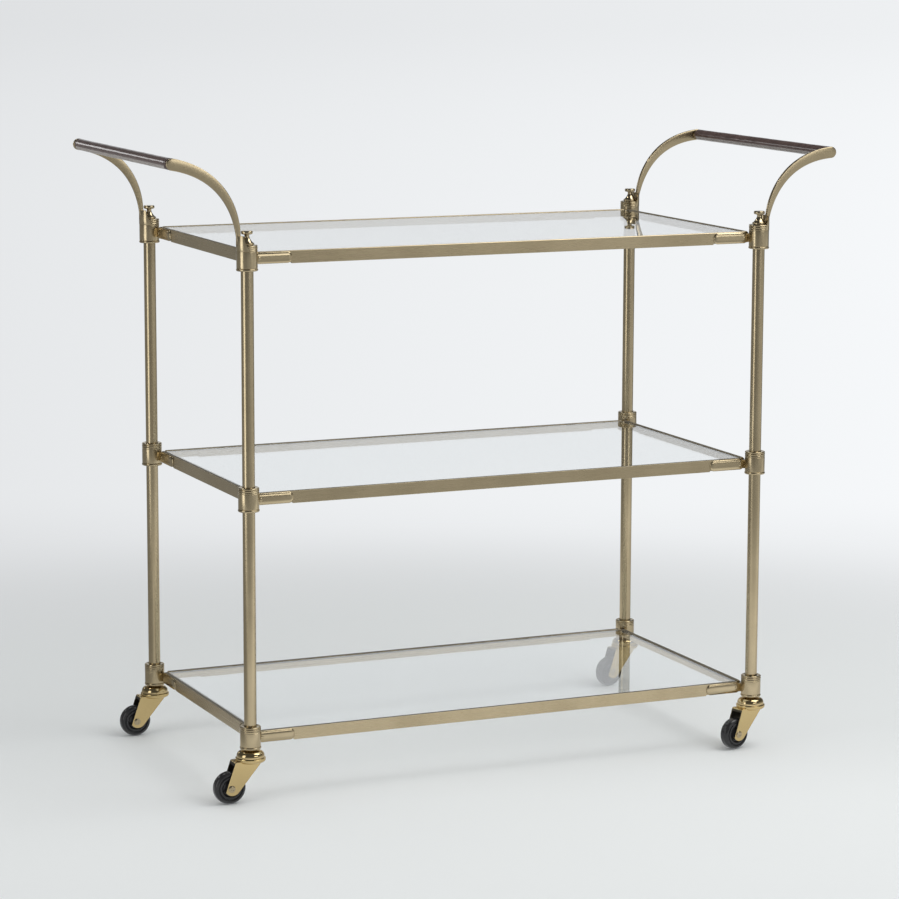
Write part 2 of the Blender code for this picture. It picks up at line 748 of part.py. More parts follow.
def axle_mesh():
    """A rivet along Y through the fork's cheeks and the wheel, headed at both ends."""
    cheek = FORK_W / 2 + FIT
    half = [
        (0, cheek + AXLE_HEAD_H),
        (AXLE_HEAD_D / 4, cheek + AXLE_HEAD_H * math.cos(math.pi / 6)),
        (AXLE_HEAD_D / 2, cheek),
        (AXLE_D / 2, cheek),
    ]
    axle = turned("caster_axle", mirrored(half), PIN_STEPS)
    axle.rotation_euler.x = math.pi / 2
    return baked(axle, "caster_axle")


# Assembly

def outline_centre():
    """How far the cart's outline is off the centre of its posts, as one handle reaches further."""
    reaches = {side: max(x for x, _ in arm_outline(side)) for side in SIDES}
    return (reaches["right"] - reaches["left"]) / 2


def build_posts(cart):
    """Four posts with their finials."""
    post = post_mesh()
    finial = finial_mesh()
    for corner, _, _, place in corners():
        sub_part("post_" + corner, post, "brass", cart, place)
        sub_part("finial_" + corner, finial, "brass", cart, (place[0], place[1], HUB_TOP_Z + FIT))


def build_hubs(cart):
    """A hub on every post at every tier; opposite corners share a pattern, turned half round."""
    turns = {"front_left": ("left", 0), "back_right": ("left", 180),
             "front_right": ("right", 90), "back_left": ("right", 270)}
    for tier in TIERS:
        meshes = {hand: hub_mesh(tier, hand) for hand in ("left", "right")}
        for corner, _, _, place in corners():
            hand, turn_deg = turns[corner]
            middle = RAIL_Z[tier] + RAIL_H / 2
            sub_part("hub_" + tier + "_" + corner, meshes[hand], "brass", cart,
                     (place[0], place[1], middle), turn_deg)


def build_tiers(cart):
    """Four rails and a glass shelf at each tier."""
    long_rail = rail_mesh("rail_long", POST_SPACING_X)
    short_rail = rail_mesh("rail_short", POST_SPACING_Y)
    glass = glass_mesh()
    middle_in = RAIL_SET_IN + RAIL_T / 2
    out_x = POST_SPACING_X / 2 - middle_in
    out_y = POST_SPACING_Y / 2 - middle_in
    for tier in TIERS:
        z = RAIL_Z[tier] + RAIL_H / 2
        sub_part("rail_" + tier + "_front", long_rail, "brass", cart, (0, -out_y, z), 0)
        sub_part("rail_" + tier + "_back", long_rail, "brass", cart, (0, out_y, z), 180)
        sub_part("rail_" + tier + "_left", short_rail, "brass", cart, (-out_x, 0, z), -90)
        sub_part("rail_" + tier + "_right", short_rail, "brass", cart, (out_x, 0, z), 90)
        glass_z = RAIL_Z[tier] + RAIL_H - GLASS_SUNK - GLASS_T / 2
        sub_part("shelf_glass_" + tier, glass, "glass", cart, (0, 0, glass_z))


def build_handles(cart):
    """Two bent arms, a turned bar and a leather sleeve at each end."""
    core = grip_core_mesh()
    leather = grip_leather_mesh()
    for corner, side, row, place in corners():
        sub_part("handle_arm_" + corner, arm_mesh(side, row), "brass", cart, (place[0], place[1], HUB_TOP_Z))
    for side, x_sign in SIDES.items():
        grip = grip_place(side)
        place = (x_sign * (POST_SPACING_X / 2 + grip.x), 0, HUB_TOP_Z + grip.y)
        sub_part("grip_core_" + side, core, "brass", cart, place)
        sub_part("grip_leather_" + side, leather, "leather", cart, place)


def build_casters(cart):
    """Four casters: stem on the post, fork and axle on the swivel's axis, wheel on the axle's."""
    stem = stem_mesh()
    fork = fork_mesh()
    axle = axle_mesh()
    wheel = wheel_mesh()
    axle_place = (-TRAIL, 0, WHEEL_D / 2)
    for corner, _, _, place in corners():
        name = "caster_" + corner
        sub_part(name + "_stem", stem, "brass", cart, place)
        swivel = empty(name + "_swivel_axis", cart, place, CASTER_YAW_DEG[corner])
        sub_part(name + "_fork", fork, "brass", swivel)
        sub_part(name + "_axle", axle, "brass", swivel, axle_place)
        sub_part(name + "_wheel", wheel, "wheel", swivel, axle_place)


clear_scene()
parts = new_collection("bar_cart")
workshop = new_collection("bar_cart_cutters")
cart_frame = empty("bar_cart_frame", None, (-outline_centre(), 0, 0))
build_posts(cart_frame)
build_hubs(cart_frame)
build_tiers(cart_frame)
build_handles(cart_frame)
build_casters(cart_frame)
print("sub-parts:", sum(1 for obj in parts.objects if obj.type == "MESH"))
print("outline centre shift:", round(outline_centre(), 6))
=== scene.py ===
# %% [markdown]
# # A three-tier bar cart in antique brass, glass and leather
#
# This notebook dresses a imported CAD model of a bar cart. The CAD already knows where every post, rail
# and wheel is, so each step here asks it for a place and then builds a finer piece there, or gives the
# CAD piece a finish. Everything is in metres, with Z up and the floor at zero.

# %% Load the frame
import math

import bmesh
import bpy
from mathutils import Matrix, Vector


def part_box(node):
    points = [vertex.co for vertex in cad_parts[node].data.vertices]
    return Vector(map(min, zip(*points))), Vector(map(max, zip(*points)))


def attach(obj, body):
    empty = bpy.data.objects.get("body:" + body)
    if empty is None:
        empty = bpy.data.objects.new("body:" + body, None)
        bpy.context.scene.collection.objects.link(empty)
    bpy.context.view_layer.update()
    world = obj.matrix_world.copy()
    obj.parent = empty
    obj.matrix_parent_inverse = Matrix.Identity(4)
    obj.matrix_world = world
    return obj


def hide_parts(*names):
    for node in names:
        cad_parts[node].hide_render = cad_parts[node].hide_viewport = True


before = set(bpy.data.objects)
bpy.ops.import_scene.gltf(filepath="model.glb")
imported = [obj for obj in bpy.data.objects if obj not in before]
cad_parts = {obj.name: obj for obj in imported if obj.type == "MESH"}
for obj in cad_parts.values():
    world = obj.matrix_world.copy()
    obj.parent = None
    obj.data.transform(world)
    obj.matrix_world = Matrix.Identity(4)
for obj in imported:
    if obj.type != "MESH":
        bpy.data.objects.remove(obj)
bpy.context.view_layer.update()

# %% [markdown]
# ## The camera
# A product photographer stands well back with a long lens, so that the posts stay nearly parallel. The
# place, turn and lens here were fitted to the posts and rails in the photograph, and a very small lens
# shift lines up the last few pixels.

# %% Camera at the photograph's angle
IMAGE_SIZE = 899
FOCAL_PIXELS = 3261.1
CAMERA_PLACE = (-2.0834, -4.7157, 1.3273)
AZIMUTH_DEG = -23.7345
ELEVATION_DEG = 9.3024
ROLL_DEG = 0.1646
CENTRE_OFF = (-0.25, -4.04)


def placed(name, data):
    """A new object in the scene."""
    obj = bpy.data.objects.new(name, data)
    bpy.context.scene.collection.objects.link(obj)
    return obj


camera_data = bpy.data.cameras.new("camera")
camera = placed("camera", camera_data)
bpy.context.scene.camera = camera
camera_data.sensor_width = 36
camera_data.lens = FOCAL_PIXELS / IMAGE_SIZE * camera_data.sensor_width
camera_data.shift_x = -CENTRE_OFF[0] / IMAGE_SIZE
camera_data.shift_y = CENTRE_OFF[1] / IMAGE_SIZE
azimuth = math.radians(AZIMUTH_DEG)
elevation = math.radians(ELEVATION_DEG)
backward = Vector((math.sin(azimuth) * math.cos(elevation),
                   -math.cos(azimuth) * math.cos(elevation),
                   math.sin(elevation)))
camera.rotation_mode = "QUATERNION"
roll = Matrix.Rotation(math.radians(ROLL_DEG), 3, "Z").to_quaternion()
camera.rotation_quaternion = backward.to_track_quat("Z", "Y") @ roll
camera.location = CAMERA_PLACE
print("lens:", round(camera_data.lens, 1), "mm")

# %% [markdown]
# ## Small helpers
# Most pieces of this cart are either turned on a lathe or cut from flat stock, so two helpers make nearly
# all of them. Both return plain meshes, because a mesh can be joined, cut and moved without surprises.

# %% Points and profiles
WELD = 0.00001


def polar(radius, deg):
    """The point at a distance and an angle from zero."""
    return radius * math.cos(math.radians(deg)), radius * math.sin(math.radians(deg))


def arc(centre, radius, start_deg, end_deg, steps):
    """Points on an arc, both ends included."""
    spokes = [polar(radius, start_deg + (end_deg - start_deg) * i / steps) for i in range(steps + 1)]
    return [(centre[0] + x, centre[1] + y) for x, y in spokes]


def eased(corners, steps=4):
    """A profile of (radius, height, ease) corners with each corner rounded over its ease."""
    points = []
    for i, (radius, height, ease) in enumerate(corners):
        here = Vector((radius, height))
        before = Vector(corners[i - 1][:2])
        after = Vector(corners[(i + 1) % len(corners)][:2])
        if ease == 0:
            points.append((radius, height))
            continue
        start = here + (before - here).normalized() * min(ease, (before - here).length / 2)
        end = here + (after - here).normalized() * min(ease, (after - here).length / 2)
        for k in range(steps + 1):
            t = k / steps
            points.append(tuple((1 - t) ** 2 * start + 2 * t * (1 - t) * here + t * t * end))
    return points


def both_sides(half):
    """A profile made whole from its upper half."""
    return half + [(radius, -height, ease) for radius, height, ease in reversed(half)]


print("a quarter turn:", [round(x, 2) for x in polar(1, 90)])

# %% Meshes from profiles and outlines
ROUND_SIDES = 64
PLATE_RIM_STEPS = 3


def new_mesh(shape, name):
    """Turn a bmesh into a mesh and free it."""
    bmesh.ops.remove_doubles(shape, verts=shape.verts, dist=WELD)
    bmesh.ops.recalc_face_normals(shape, faces=shape.faces)
    mesh = bpy.data.meshes.new(name)
    shape.to_mesh(mesh)
    shape.free()
    return mesh


def skin(shape, rings, closed=False):
    """Span each ring of vertices and the next with faces; a ring of one vertex is a pole."""
    count = max(len(ring) for ring in rings)
    for upper, lower in zip(rings, rings[1:] + rings[:1] if closed else rings[1:]):
        for k in range(count):
            j = (k + 1) % count
            loop = [ring[i % len(ring)] for ring, i in ((upper, k), (lower, k), (lower, j), (upper, j))]
            loop = list(dict.fromkeys(loop))
            if len(loop) > 2:
                shape.faces.new(loop)


def turned(name, profile, sides=ROUND_SIDES):
    """A profile turned about Z, outer side from top to bottom; off the axis it is a ring."""
    shape = bmesh.new()
    rings = []
    for radius, height in profile:
        count = 1 if radius < WELD else sides
        rings.append([shape.verts.new((radius * math.cos(math.tau * k / sides),
                                       radius * math.sin(math.tau * k / sides), height))
                      for k in range(count)])
    skin(shape, rings, closed=profile[0][0] > WELD)
    return new_mesh(shape, name)


def plate(name, outline, thickness, ease):
    """Flat stock cut to an outline of (x, z) points, thick along Y, with its rims rounded."""
    shape = bmesh.new()
    front = [shape.verts.new((x, -thickness / 2, z)) for x, z in outline]
    back = [shape.verts.new((x, thickness / 2, z)) for x, z in outline]
    shape.faces.new(front)
    shape.faces.new(list(reversed(back)))
    for i in range(len(outline)):
        j = (i + 1) % len(outline)
        shape.faces.new((front[j], front[i], back[i], back[j]))
    rims = [e for e in shape.edges if abs(e.verts[0].co.y - e.verts[1].co.y) < WELD]
    bmesh.ops.bevel(shape, geom=rims, offset=ease, segments=PLATE_RIM_STEPS, profile=0.5, affect="EDGES")
    return new_mesh(shape, name)


def block(name, size, centre):
    """A plain box."""
    shape = bmesh.new()
    bmesh.ops.create_cube(shape, size=1, matrix=Matrix.Translation(centre) @ Matrix.Diagonal((*size, 1)))
    return new_mesh(shape, name)


def rod(name, radius, length, axis, centre, sides=ROUND_SIDES):
    """A plain round bar, used to drill and to scoop."""
    shape = bmesh.new()
    bmesh.ops.create_cone(shape, cap_ends=True, segments=sides, radius1=radius, radius2=radius, depth=length)
    mesh = new_mesh(shape, name)
    turn = Vector((0, 0, 1)).rotation_difference(Vector(axis)).to_matrix().to_4x4()
    mesh.transform(Matrix.Translation(centre) @ turn)
    return mesh


print("turned pieces have", ROUND_SIDES, "sides unless they ask for more or fewer")

# %% Joining, placing and finishing pieces
SHARP_DEG = 32
CUT_EASE_STEPS = 2
CUT_EASE_DEG = 40
CORNERS = {"front_left": (-1, -1), "front_right": (1, -1), "back_left": (-1, 1), "back_right": (1, 1)}


def boolean(name, base, operation, others, ease=0):
    """Join or cut meshes with exact Booleans, round the new edges if asked, and return the mesh."""
    scratch = [placed(name + "_scratch", mesh) for mesh in (base, *others)]
    for other in scratch[1:]:
        modifier = scratch[0].modifiers.new(operation.lower(), "BOOLEAN")
        modifier.operation = operation
        modifier.object = other
    if ease:
        bevel = scratch[0].modifiers.new("ease", "BEVEL")
        bevel.width = ease
        bevel.segments = CUT_EASE_STEPS
        bevel.limit_method = "ANGLE"
        bevel.angle_limit = math.radians(CUT_EASE_DEG)
    bpy.context.view_layer.update()
    evaluated = scratch[0].evaluated_get(bpy.context.evaluated_depsgraph_get())
    mesh = bpy.data.meshes.new_from_object(evaluated)
    mesh.name = name
    for obj in scratch:
        bpy.data.objects.remove(obj)
    return mesh


def copied(mesh, move):
    """A copy of a mesh, moved by a matrix."""
    moved = mesh.copy()
    moved.transform(move)
    return moved


def piece(name, mesh, material, body, replaced=(), deg=SHARP_DEG):
    """A finished piece: it rides on its CAD body and may stand for CAD nodes."""
    obj = placed(name, mesh)
    mesh.materials.clear()
    mesh.materials.append(material)
    mesh.shade_smooth()
    mesh.set_sharp_from_angle(angle=math.radians(deg))
    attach(obj, body)
    if replaced:
        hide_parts(*replaced)
    return obj


def middle(node):
    """The middle of a CAD node's box."""
    low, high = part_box(node)
    return (low + high) / 2


axes = {corner: middle("post_" + corner) for corner in CORNERS}


def on_post(corner, height=0):
    """The move to a height on a post's axis."""
    return Matrix.Translation((axes[corner].x, axes[corner].y, height))


print("post axes:", {corner: [round(x, 4) for x in axis[:2]] for corner, axis in axes.items()})

# %% [markdown]
# ## The studio
# The cart stands on a pale seamless floor under a broad soft light. The floor has to look pale all the way
# to the edge of the picture, yet still catch the cart's shadow, so its material is a plain matt one near
# the cart that fades into a glow of the same colour far away. Light Path tells which rays come from the
# camera or through glass, and those see the pale backdrop. Rays that metal mirrors see the bright and dim
# fields of a real studio, because these are what give polished metal its shape.

# %% Shader helpers
MIX_SOCKETS = {"FLOAT": (2, 3, 0), "RGBA": (6, 7, 2)}


def fill(tree, target, inputs):
    """Give a node's inputs their values, or links where a value is a socket."""
    for key, value in inputs.items():
        if isinstance(value, bpy.types.NodeSocket):
            tree.links.new(value, target.inputs[key])
        else:
            target.inputs[key].default_value = value


def node(tree, kind, inputs=None, **settings):
    """Add a shader node, set its plain properties and fill its inputs."""
    made = tree.nodes.new(kind)
    for key, value in settings.items():
        setattr(made, key, value)
    fill(tree, made, inputs or {})
    return made


def calculate(tree, operation, first, second, clamp=False):
    """The result of a Math node."""
    pair = {0: first, 1: second}
    return node(tree, "ShaderNodeMath", pair, operation=operation, use_clamp=clamp).outputs[0]


def ramp(tree, source, low, high, to_low=0.0, to_high=1.0, kind="SMOOTHSTEP"):
    """A value taken from one span to another."""
    spans = {"Value": source, "From Min": low, "From Max": high, "To Min": to_low, "To Max": to_high}
    return node(tree, "ShaderNodeMapRange", spans, interpolation_type=kind).outputs["Result"]


def along(tree, vector, direction):
    """How far a vector reaches in a direction."""
    pair = {0: vector, 1: direction}
    return node(tree, "ShaderNodeVectorMath", pair, operation="DOT_PRODUCT").outputs["Value"]


def heading(tree, vector):
    """A vector's direction, at length one."""
    return node(tree, "ShaderNodeVectorMath", {0: vector}, operation="NORMALIZE").outputs["Vector"]


def mix(tree, kind, factor, first, second):
    """Two numbers or two colours mixed."""
    a, b, result = MIX_SOCKETS[kind]
    return node(tree, "ShaderNodeMix", {0: factor, a: first, b: second}, data_type=kind).outputs[result]


def mix_shaders(tree, factor, first, second):
    """Two shaders mixed."""
    return node(tree, "ShaderNodeMixShader", {0: factor, 1: first, 2: second}).outputs[0]


def empty_tree(owner):
    """The node tree of a world or a material, cleared."""
    owner.use_nodes = True
    owner.node_tree.nodes.clear()
    return owner.node_tree


def new_material(name):
    """A material and its empty tree."""
    material = bpy.data.materials.new(name)
    return material, empty_tree(material)


def covered(material, surface):
    """Make a shader the material's surface."""
    node(material.node_tree, "ShaderNodeOutputMaterial", {"Surface": surface})
    return material


print("kinds of mix:", list(MIX_SOCKETS))

# %% The studio as metal sees it
UP = (0.0, 0.0, 1.0)
FORWARD = (0.0, -1.0, 0.0)
BACKDROP = (0.785, 0.80, 0.815, 1.0)
AMBIENT = (0.98, 0.99, 1.0, 1.0)
AMBIENT_LEVEL = 0.62
# The panel behind the cart: how squarely a ray must face it, then how bright the sides and the panel are.
BEHIND = (0.40, 0.9165, 0.0)
ACROSS = (0.9165, -0.40, 0.0)
PANEL = (0.90, 0.985, 0.20, 0.98)
CEILING_FROM = (0.235, 0.33)
CEILING_LEVEL = 0.11


def panel_glow(tree, vector):
    """How bright the studio is in a direction: pale behind the cart, dim at its sides and in front."""
    return ramp(tree, along(tree, heading(tree, vector), BEHIND), *PANEL)


world = bpy.data.worlds.new("studio")
bpy.context.scene.world = world
tree = empty_tree(world)
rays = node(tree, "ShaderNodeLightPath").outputs
direction = node(tree, "ShaderNodeTexCoord").outputs["Generated"]
ceiling = ramp(tree, along(tree, direction, UP), *CEILING_FROM)
mirrored_level = mix(tree, "FLOAT", ceiling, panel_glow(tree, direction), CEILING_LEVEL)
plain, around, ambient = [
    node(tree, "ShaderNodeBackground", {"Color": colour, "Strength": level}).outputs[0]
    for colour, level in ((BACKDROP, 1.0), (BACKDROP, mirrored_level), (AMBIENT, AMBIENT_LEVEL))]
unseen = mix_shaders(tree, rays["Is Glossy Ray"], ambient, around)
seen = calculate(tree, "ADD", rays["Is Camera Ray"], rays["Is Transmission Ray"], clamp=True)
node(tree, "ShaderNodeOutputWorld", {"Surface": mix_shaders(tree, seen, unseen, plain)})
print("world:", len(tree.nodes), "nodes")

# %% The floor's matt cloth and its shadow
# The floor's colour darkens towards the back: painted shade for the weaker light behind the cart.
FLOOR_FRONT = (0.847, 0.867, 0.862, 1.0)
FLOOR_BACK_SHADED = (0.79, 0.812, 0.808, 1.0)
FLOOR_TURN = (-0.40, 0.12)
FLOOR_ROUGHNESS = 0.7
FLOOR_SHINE = 0.2
FLOOR_RADIUS = 60
FLOOR_SIDES = 96

shape = bmesh.new()
bmesh.ops.create_circle(shape, cap_ends=True, radius=FLOOR_RADIUS, segments=FLOOR_SIDES)
floor = placed("floor", new_mesh(shape, "floor"))
material, tree = new_material("seamless_floor")
floor.data.materials.append(material)
place = node(tree, "ShaderNodeTexCoord").outputs["Object"]
depth = along(tree, place, BEHIND)
across = along(tree, place, ACROSS)
shaded_floor_colour = mix(tree, "RGBA", ramp(tree, depth, *FLOOR_TURN), FLOOR_FRONT, FLOOR_BACK_SHADED)
matt = node(tree, "ShaderNodeBsdfPrincipled", {
    "Base Color": shaded_floor_colour, "Roughness": FLOOR_ROUGHNESS, "Specular IOR Level": FLOOR_SHINE}).outputs[0]
print("floor:", 2 * FLOOR_RADIUS, "m across")

# %% The floor as the camera sees it far away
# How bright the backdrop looks at distances behind the cart, in metres, and how it leans to the right. The
# dimmer glow near the cart is painted shadow, and the lean is painted light.
GLOW_NEAR = (0.9, 2.3, 0.93, 1.09)
GLOW_FAR = (6.0, 35.0, 1.0, 0.93)
GLOW_LEAN = 0.084
LEAN_SPAN = 0.16
CAMERA_BACK = 5.155
NEAREST = 3.0

from_camera = calculate(tree, "MAXIMUM", calculate(tree, "ADD", depth, CAMERA_BACK), NEAREST)
lean = ramp(tree, calculate(tree, "DIVIDE", across, from_camera), -LEAN_SPAN, LEAN_SPAN,
            1 - GLOW_LEAN, 1 + GLOW_LEAN, "LINEAR")
shown = calculate(tree, "MULTIPLY", ramp(tree, depth, *GLOW_NEAR), ramp(tree, depth, *GLOW_FAR))
shown = calculate(tree, "MULTIPLY", shown, lean)
print("the backdrop is brightest beyond", GLOW_NEAR[1], "m")

# %% The floor as metal sees it
# In metal the floor brightens from left to right, with a bright pool round one place, cut off on the left,
# and a dimmer sector behind on the right.
METAL_SIDES = (-0.6, 1.4, 0.37, 0.53)
POOL_MIDDLE = (0.48, 1.10, 0.0)
POOL = (1.8, 2.7, 0.42, 0.0)
POOL_LEFT = (-0.78, -0.45)
BEHIND_RIGHT = (0.82, 0.57, 0.0)
DIM_SECTOR = (0.80, 0.93, 1.0, 0.66)
# A bright strip of floor just in front of the cart, which the lowest rails and the casters mirror.
APRON_NEAR = (0.30, 0.60)
APRON_FAR = (0.95, 1.70, 0.39, 0.0)
FADE_START = 0.75
FADE_END = 1.9

away = node(tree, "ShaderNodeVectorMath", {0: place, 1: POOL_MIDDLE}, operation="DISTANCE").outputs["Value"]
pool = calculate(tree, "MULTIPLY", ramp(tree, away, *POOL), ramp(tree, across, *POOL_LEFT))
dim = ramp(tree, along(tree, heading(tree, place), BEHIND_RIGHT), *DIM_SECTOR)
in_metal = calculate(tree, "MULTIPLY", ramp(tree, across, *METAL_SIDES), dim)
in_metal = calculate(tree, "MAXIMUM", panel_glow(tree, place), calculate(tree, "ADD", in_metal, pool))
forward = along(tree, place, FORWARD)
apron = calculate(tree, "MULTIPLY", ramp(tree, forward, *APRON_NEAR), ramp(tree, forward, *APRON_FAR))
in_metal = calculate(tree, "ADD", in_metal, apron)
rays = node(tree, "ShaderNodeLightPath").outputs
mirrored = calculate(tree, "SUBTRACT", rays["Is Glossy Ray"], rays["Is Transmission Ray"], clamp=True)
strength = mix(tree, "FLOAT", mirrored, shown, in_metal)
glow = node(tree, "ShaderNodeEmission", {"Color": BACKDROP, "Strength": strength}).outputs[0]
spread = node(tree, "ShaderNodeVectorMath", {0: place}, operation="LENGTH").outputs["Value"]
glowing = calculate(tree, "MAXIMUM", ramp(tree, spread, FADE_START, FADE_END), mirrored)
covered(material, mix_shaders(tree, glowing, matt, glow))
print("floor fades between", FADE_START, "and", FADE_END, "m")

# %% Soft lamps
# Azimuth, middle height, distance, width, height and radiance; azimuth 0 is in front and 90 on the right.
LAMPS = {
    "key_left": (-76, 0.90, 2.5, 0.95, 1.76, 1.6),
    "fill_front_right": (52, 0.55, 3.2, 4.2, 1.1, 0.18),
    "soft_front_right": (20, 1.58, 3.2, 1.7, 0.98, 2.0),
    "top": (62, 2.7, 1.5, 1.7, 1.7, 3.4),
    "rim_behind_left": (-156, 1.48, 3.5, 0.5, 0.44, 2.9),
    "glint": (-145, 2.6, 1.6, 0.35, 0.35, 14.0),
}
AIM_HEIGHT = 0.45
TILTED_ABOVE = 2
for name, (turn, height, distance, wide, tall, radiance) in LAMPS.items():
    lamp = bpy.data.lights.new(name, "AREA")
    lamp.shape = "RECTANGLE"
    lamp.size, lamp.size_y = wide, tall
    lamp.energy = radiance * math.pi * wide * tall
    holder = placed(name, lamp)
    ahead, aside = polar(distance, turn)
    holder.location = (aside, -ahead, height)
    facing = holder.location - Vector((0, 0, AIM_HEIGHT))
    if height < TILTED_ABOVE:
        facing.z = 0
    holder.rotation_euler = facing.to_track_quat("Z", "Y").to_euler()
    holder.visible_diffuse = name != "glint"
print("lamps:", list(LAMPS))

# %% [markdown]
# ## Effects that several finishes share
# Antique brass is never one colour: the lacquered surface has cloudy patches of tarnish, a fine grain from
# brushing, and paler edges where hands and cloths have rubbed, which also serve as a painted highlight along
# every edge. Upward faces get painted shade. Each of these is a node group with named inputs, so every
# material can use it at its own scale. The groups give out only colours and masks, and the Principled shader
# stays in the material, where its plain numbers can be read by other programs.

# %% Tarnish
PATCH_SCALE = 9.0
PATCH_AMOUNT = 0.5
PATCH_SPAN = (0.35, 0.68)
SAMPLE = (0.5, 0.4, 0.25, 1)


def new_group(name, inputs, outputs):
    """A shader node group: its tree, the sockets that it takes and the node that gives out."""
    group = bpy.data.node_groups.new(name, "ShaderNodeTree")
    for title, kind, value in inputs:
        socket = group.interface.new_socket(name=title, in_out="INPUT", socket_type="NodeSocket" + kind)
        socket.default_value = value
    for title, kind in outputs:
        group.interface.new_socket(name=title, in_out="OUTPUT", socket_type="NodeSocket" + kind)
    return group, node(group, "NodeGroupInput").outputs, node(group, "NodeGroupOutput")


def give_out(group, entry, leave, pattern, plain, other):
    """Give out a pattern times the group's amount as a mask, and two colours blended by that mask."""
    mask = calculate(group, "MULTIPLY", pattern, entry["Amount"])
    fill(group, leave, {"Mask": mask, "Color": mix(group, "RGBA", mask, entry[plain], entry[other])})


COLOUR_AND_MASK = [("Color", "Color"), ("Mask", "Float")]
tarnish, entry, leave = new_group(
    "tarnish",
    [("Clean", "Color", SAMPLE), ("Tarnished", "Color", (0.3, 0.24, 0.15, 1)),
     ("Patch Scale", "Float", PATCH_SCALE), ("Amount", "Float", PATCH_AMOUNT)],
    COLOUR_AND_MASK)
where = node(tarnish, "ShaderNodeTexCoord").outputs["Object"]
clouds = node(tarnish, "ShaderNodeTexNoise", {
    "Vector": where, "Scale": entry["Patch Scale"], "Detail": 5, "Roughness": 0.62}).outputs["Fac"]
give_out(tarnish, entry, leave, ramp(tarnish, clouds, *PATCH_SPAN), "Clean", "Tarnished")
print("tarnish:", len(tarnish.nodes), "nodes")

# %% Brushing
LINE_SPAN = (0.3, 0.7)
brushing, entry, leave = new_group(
    "brushing",
    [("Place", "Vector", (0, 0, 0)), ("Stretch", "Vector", (900, 900, 14)),
     ("Rough Low", "Float", 0.26), ("Rough High", "Float", 0.36)],
    [("Roughness", "Float"), ("Height", "Float")])
stretched = node(brushing, "ShaderNodeVectorMath", {0: entry["Place"], 1: entry["Stretch"]},
                 operation="MULTIPLY").outputs[0]
lines = node(brushing, "ShaderNodeTexNoise", {"Vector": stretched, "Scale": 1.0, "Detail": 3}).outputs["Fac"]
rough = ramp(brushing, lines, *LINE_SPAN, entry["Rough Low"], entry["Rough High"], "LINEAR")
fill(brushing, leave, {"Roughness": rough, "Height": lines})
print("brushing:", len(brushing.nodes), "nodes")

# %% Worn edges with a painted highlight, and painted shade on upward faces
BEVEL_SAMPLES = 8
EDGE_SPAN = (0.995, 0.88)
TOP_SPAN = (0.55, 0.9)
# Paler edges found by the Bevel node: rubbed wear, and a painted highlight along every edge.
edge_wear_and_highlight, entry, leave = new_group(
    "edge_wear_and_painted_highlight",
    [("Color", "Color", SAMPLE), ("Bare And Lit", "Color", (0.75, 0.62, 0.4, 1)),
     ("Width", "Float", 0.0006), ("Amount", "Float", 0.5)],
    COLOUR_AND_MASK)
rounded = node(edge_wear_and_highlight, "ShaderNodeBevel", {"Radius": entry["Width"]}, samples=BEVEL_SAMPLES).outputs[0]
agree = along(edge_wear_and_highlight, rounded, node(edge_wear_and_highlight, "ShaderNodeNewGeometry").outputs["Normal"])
give_out(edge_wear_and_highlight, entry, leave, ramp(edge_wear_and_highlight, agree, *EDGE_SPAN), "Color", "Bare And Lit")

# Painted shade: upward faces are darkened towards a dark colour, and the material makes them less metallic
# and rougher.
top_shade, entry, leave = new_group(
    "painted_shade_on_tops",
    [("Color", "Color", SAMPLE), ("Top Shade", "Color", (0.07, 0.068, 0.06, 1)), ("Amount", "Float", 0.0)],
    COLOUR_AND_MASK)
upward = along(top_shade, node(top_shade, "ShaderNodeNewGeometry").outputs["Normal"], UP)
give_out(top_shade, entry, leave, ramp(top_shade, upward, *TOP_SPAN), "Color", "Top Shade")
print("node groups:", [group.name for group in bpy.data.node_groups])

# %% [markdown]
# ## Brass
# The posts are drawn tube, brushed along their length; rails are brushed along theirs; hubs and finials
# come off a lathe, so their grain runs round them. One function makes all of these from the shared groups,
# with the direction of the grain as its choice. The casters are bought in, with a yellower bright finish.

# %% How brass is built
# How much brighter the edges are, for rubbed wear and painted highlight.
BARE_AND_LIT_GAIN = 1.35
GRAIN_DEPTH = 0.0002
# How much rougher the painted shade makes upward faces.
TOP_SHADE_ROUGHNESS = 0.4


def shared(tree, group, inputs):
    """Place a shared effect in a material with its own values."""
    return node(tree, "ShaderNodeGroup", inputs, node_tree=group).outputs


def patchy(tree, clean, tarnished, scale=PATCH_SCALE, amount=PATCH_AMOUNT):
    """The tarnish effect between two colours."""
    return shared(tree, tarnish, {
        "Clean": clean, "Tarnished": tarnished, "Patch Scale": scale, "Amount": amount})


def bumped(tree, height, strength, depth):
    """A normal that follows a height."""
    inputs = {"Height": height, "Strength": strength, "Distance": depth}
    return node(tree, "ShaderNodeBump", inputs).outputs["Normal"]


def principled(tree, inputs):
    """The Principled shader, which stays in the material."""
    return node(tree, "ShaderNodeBsdfPrincipled", inputs).outputs[0]


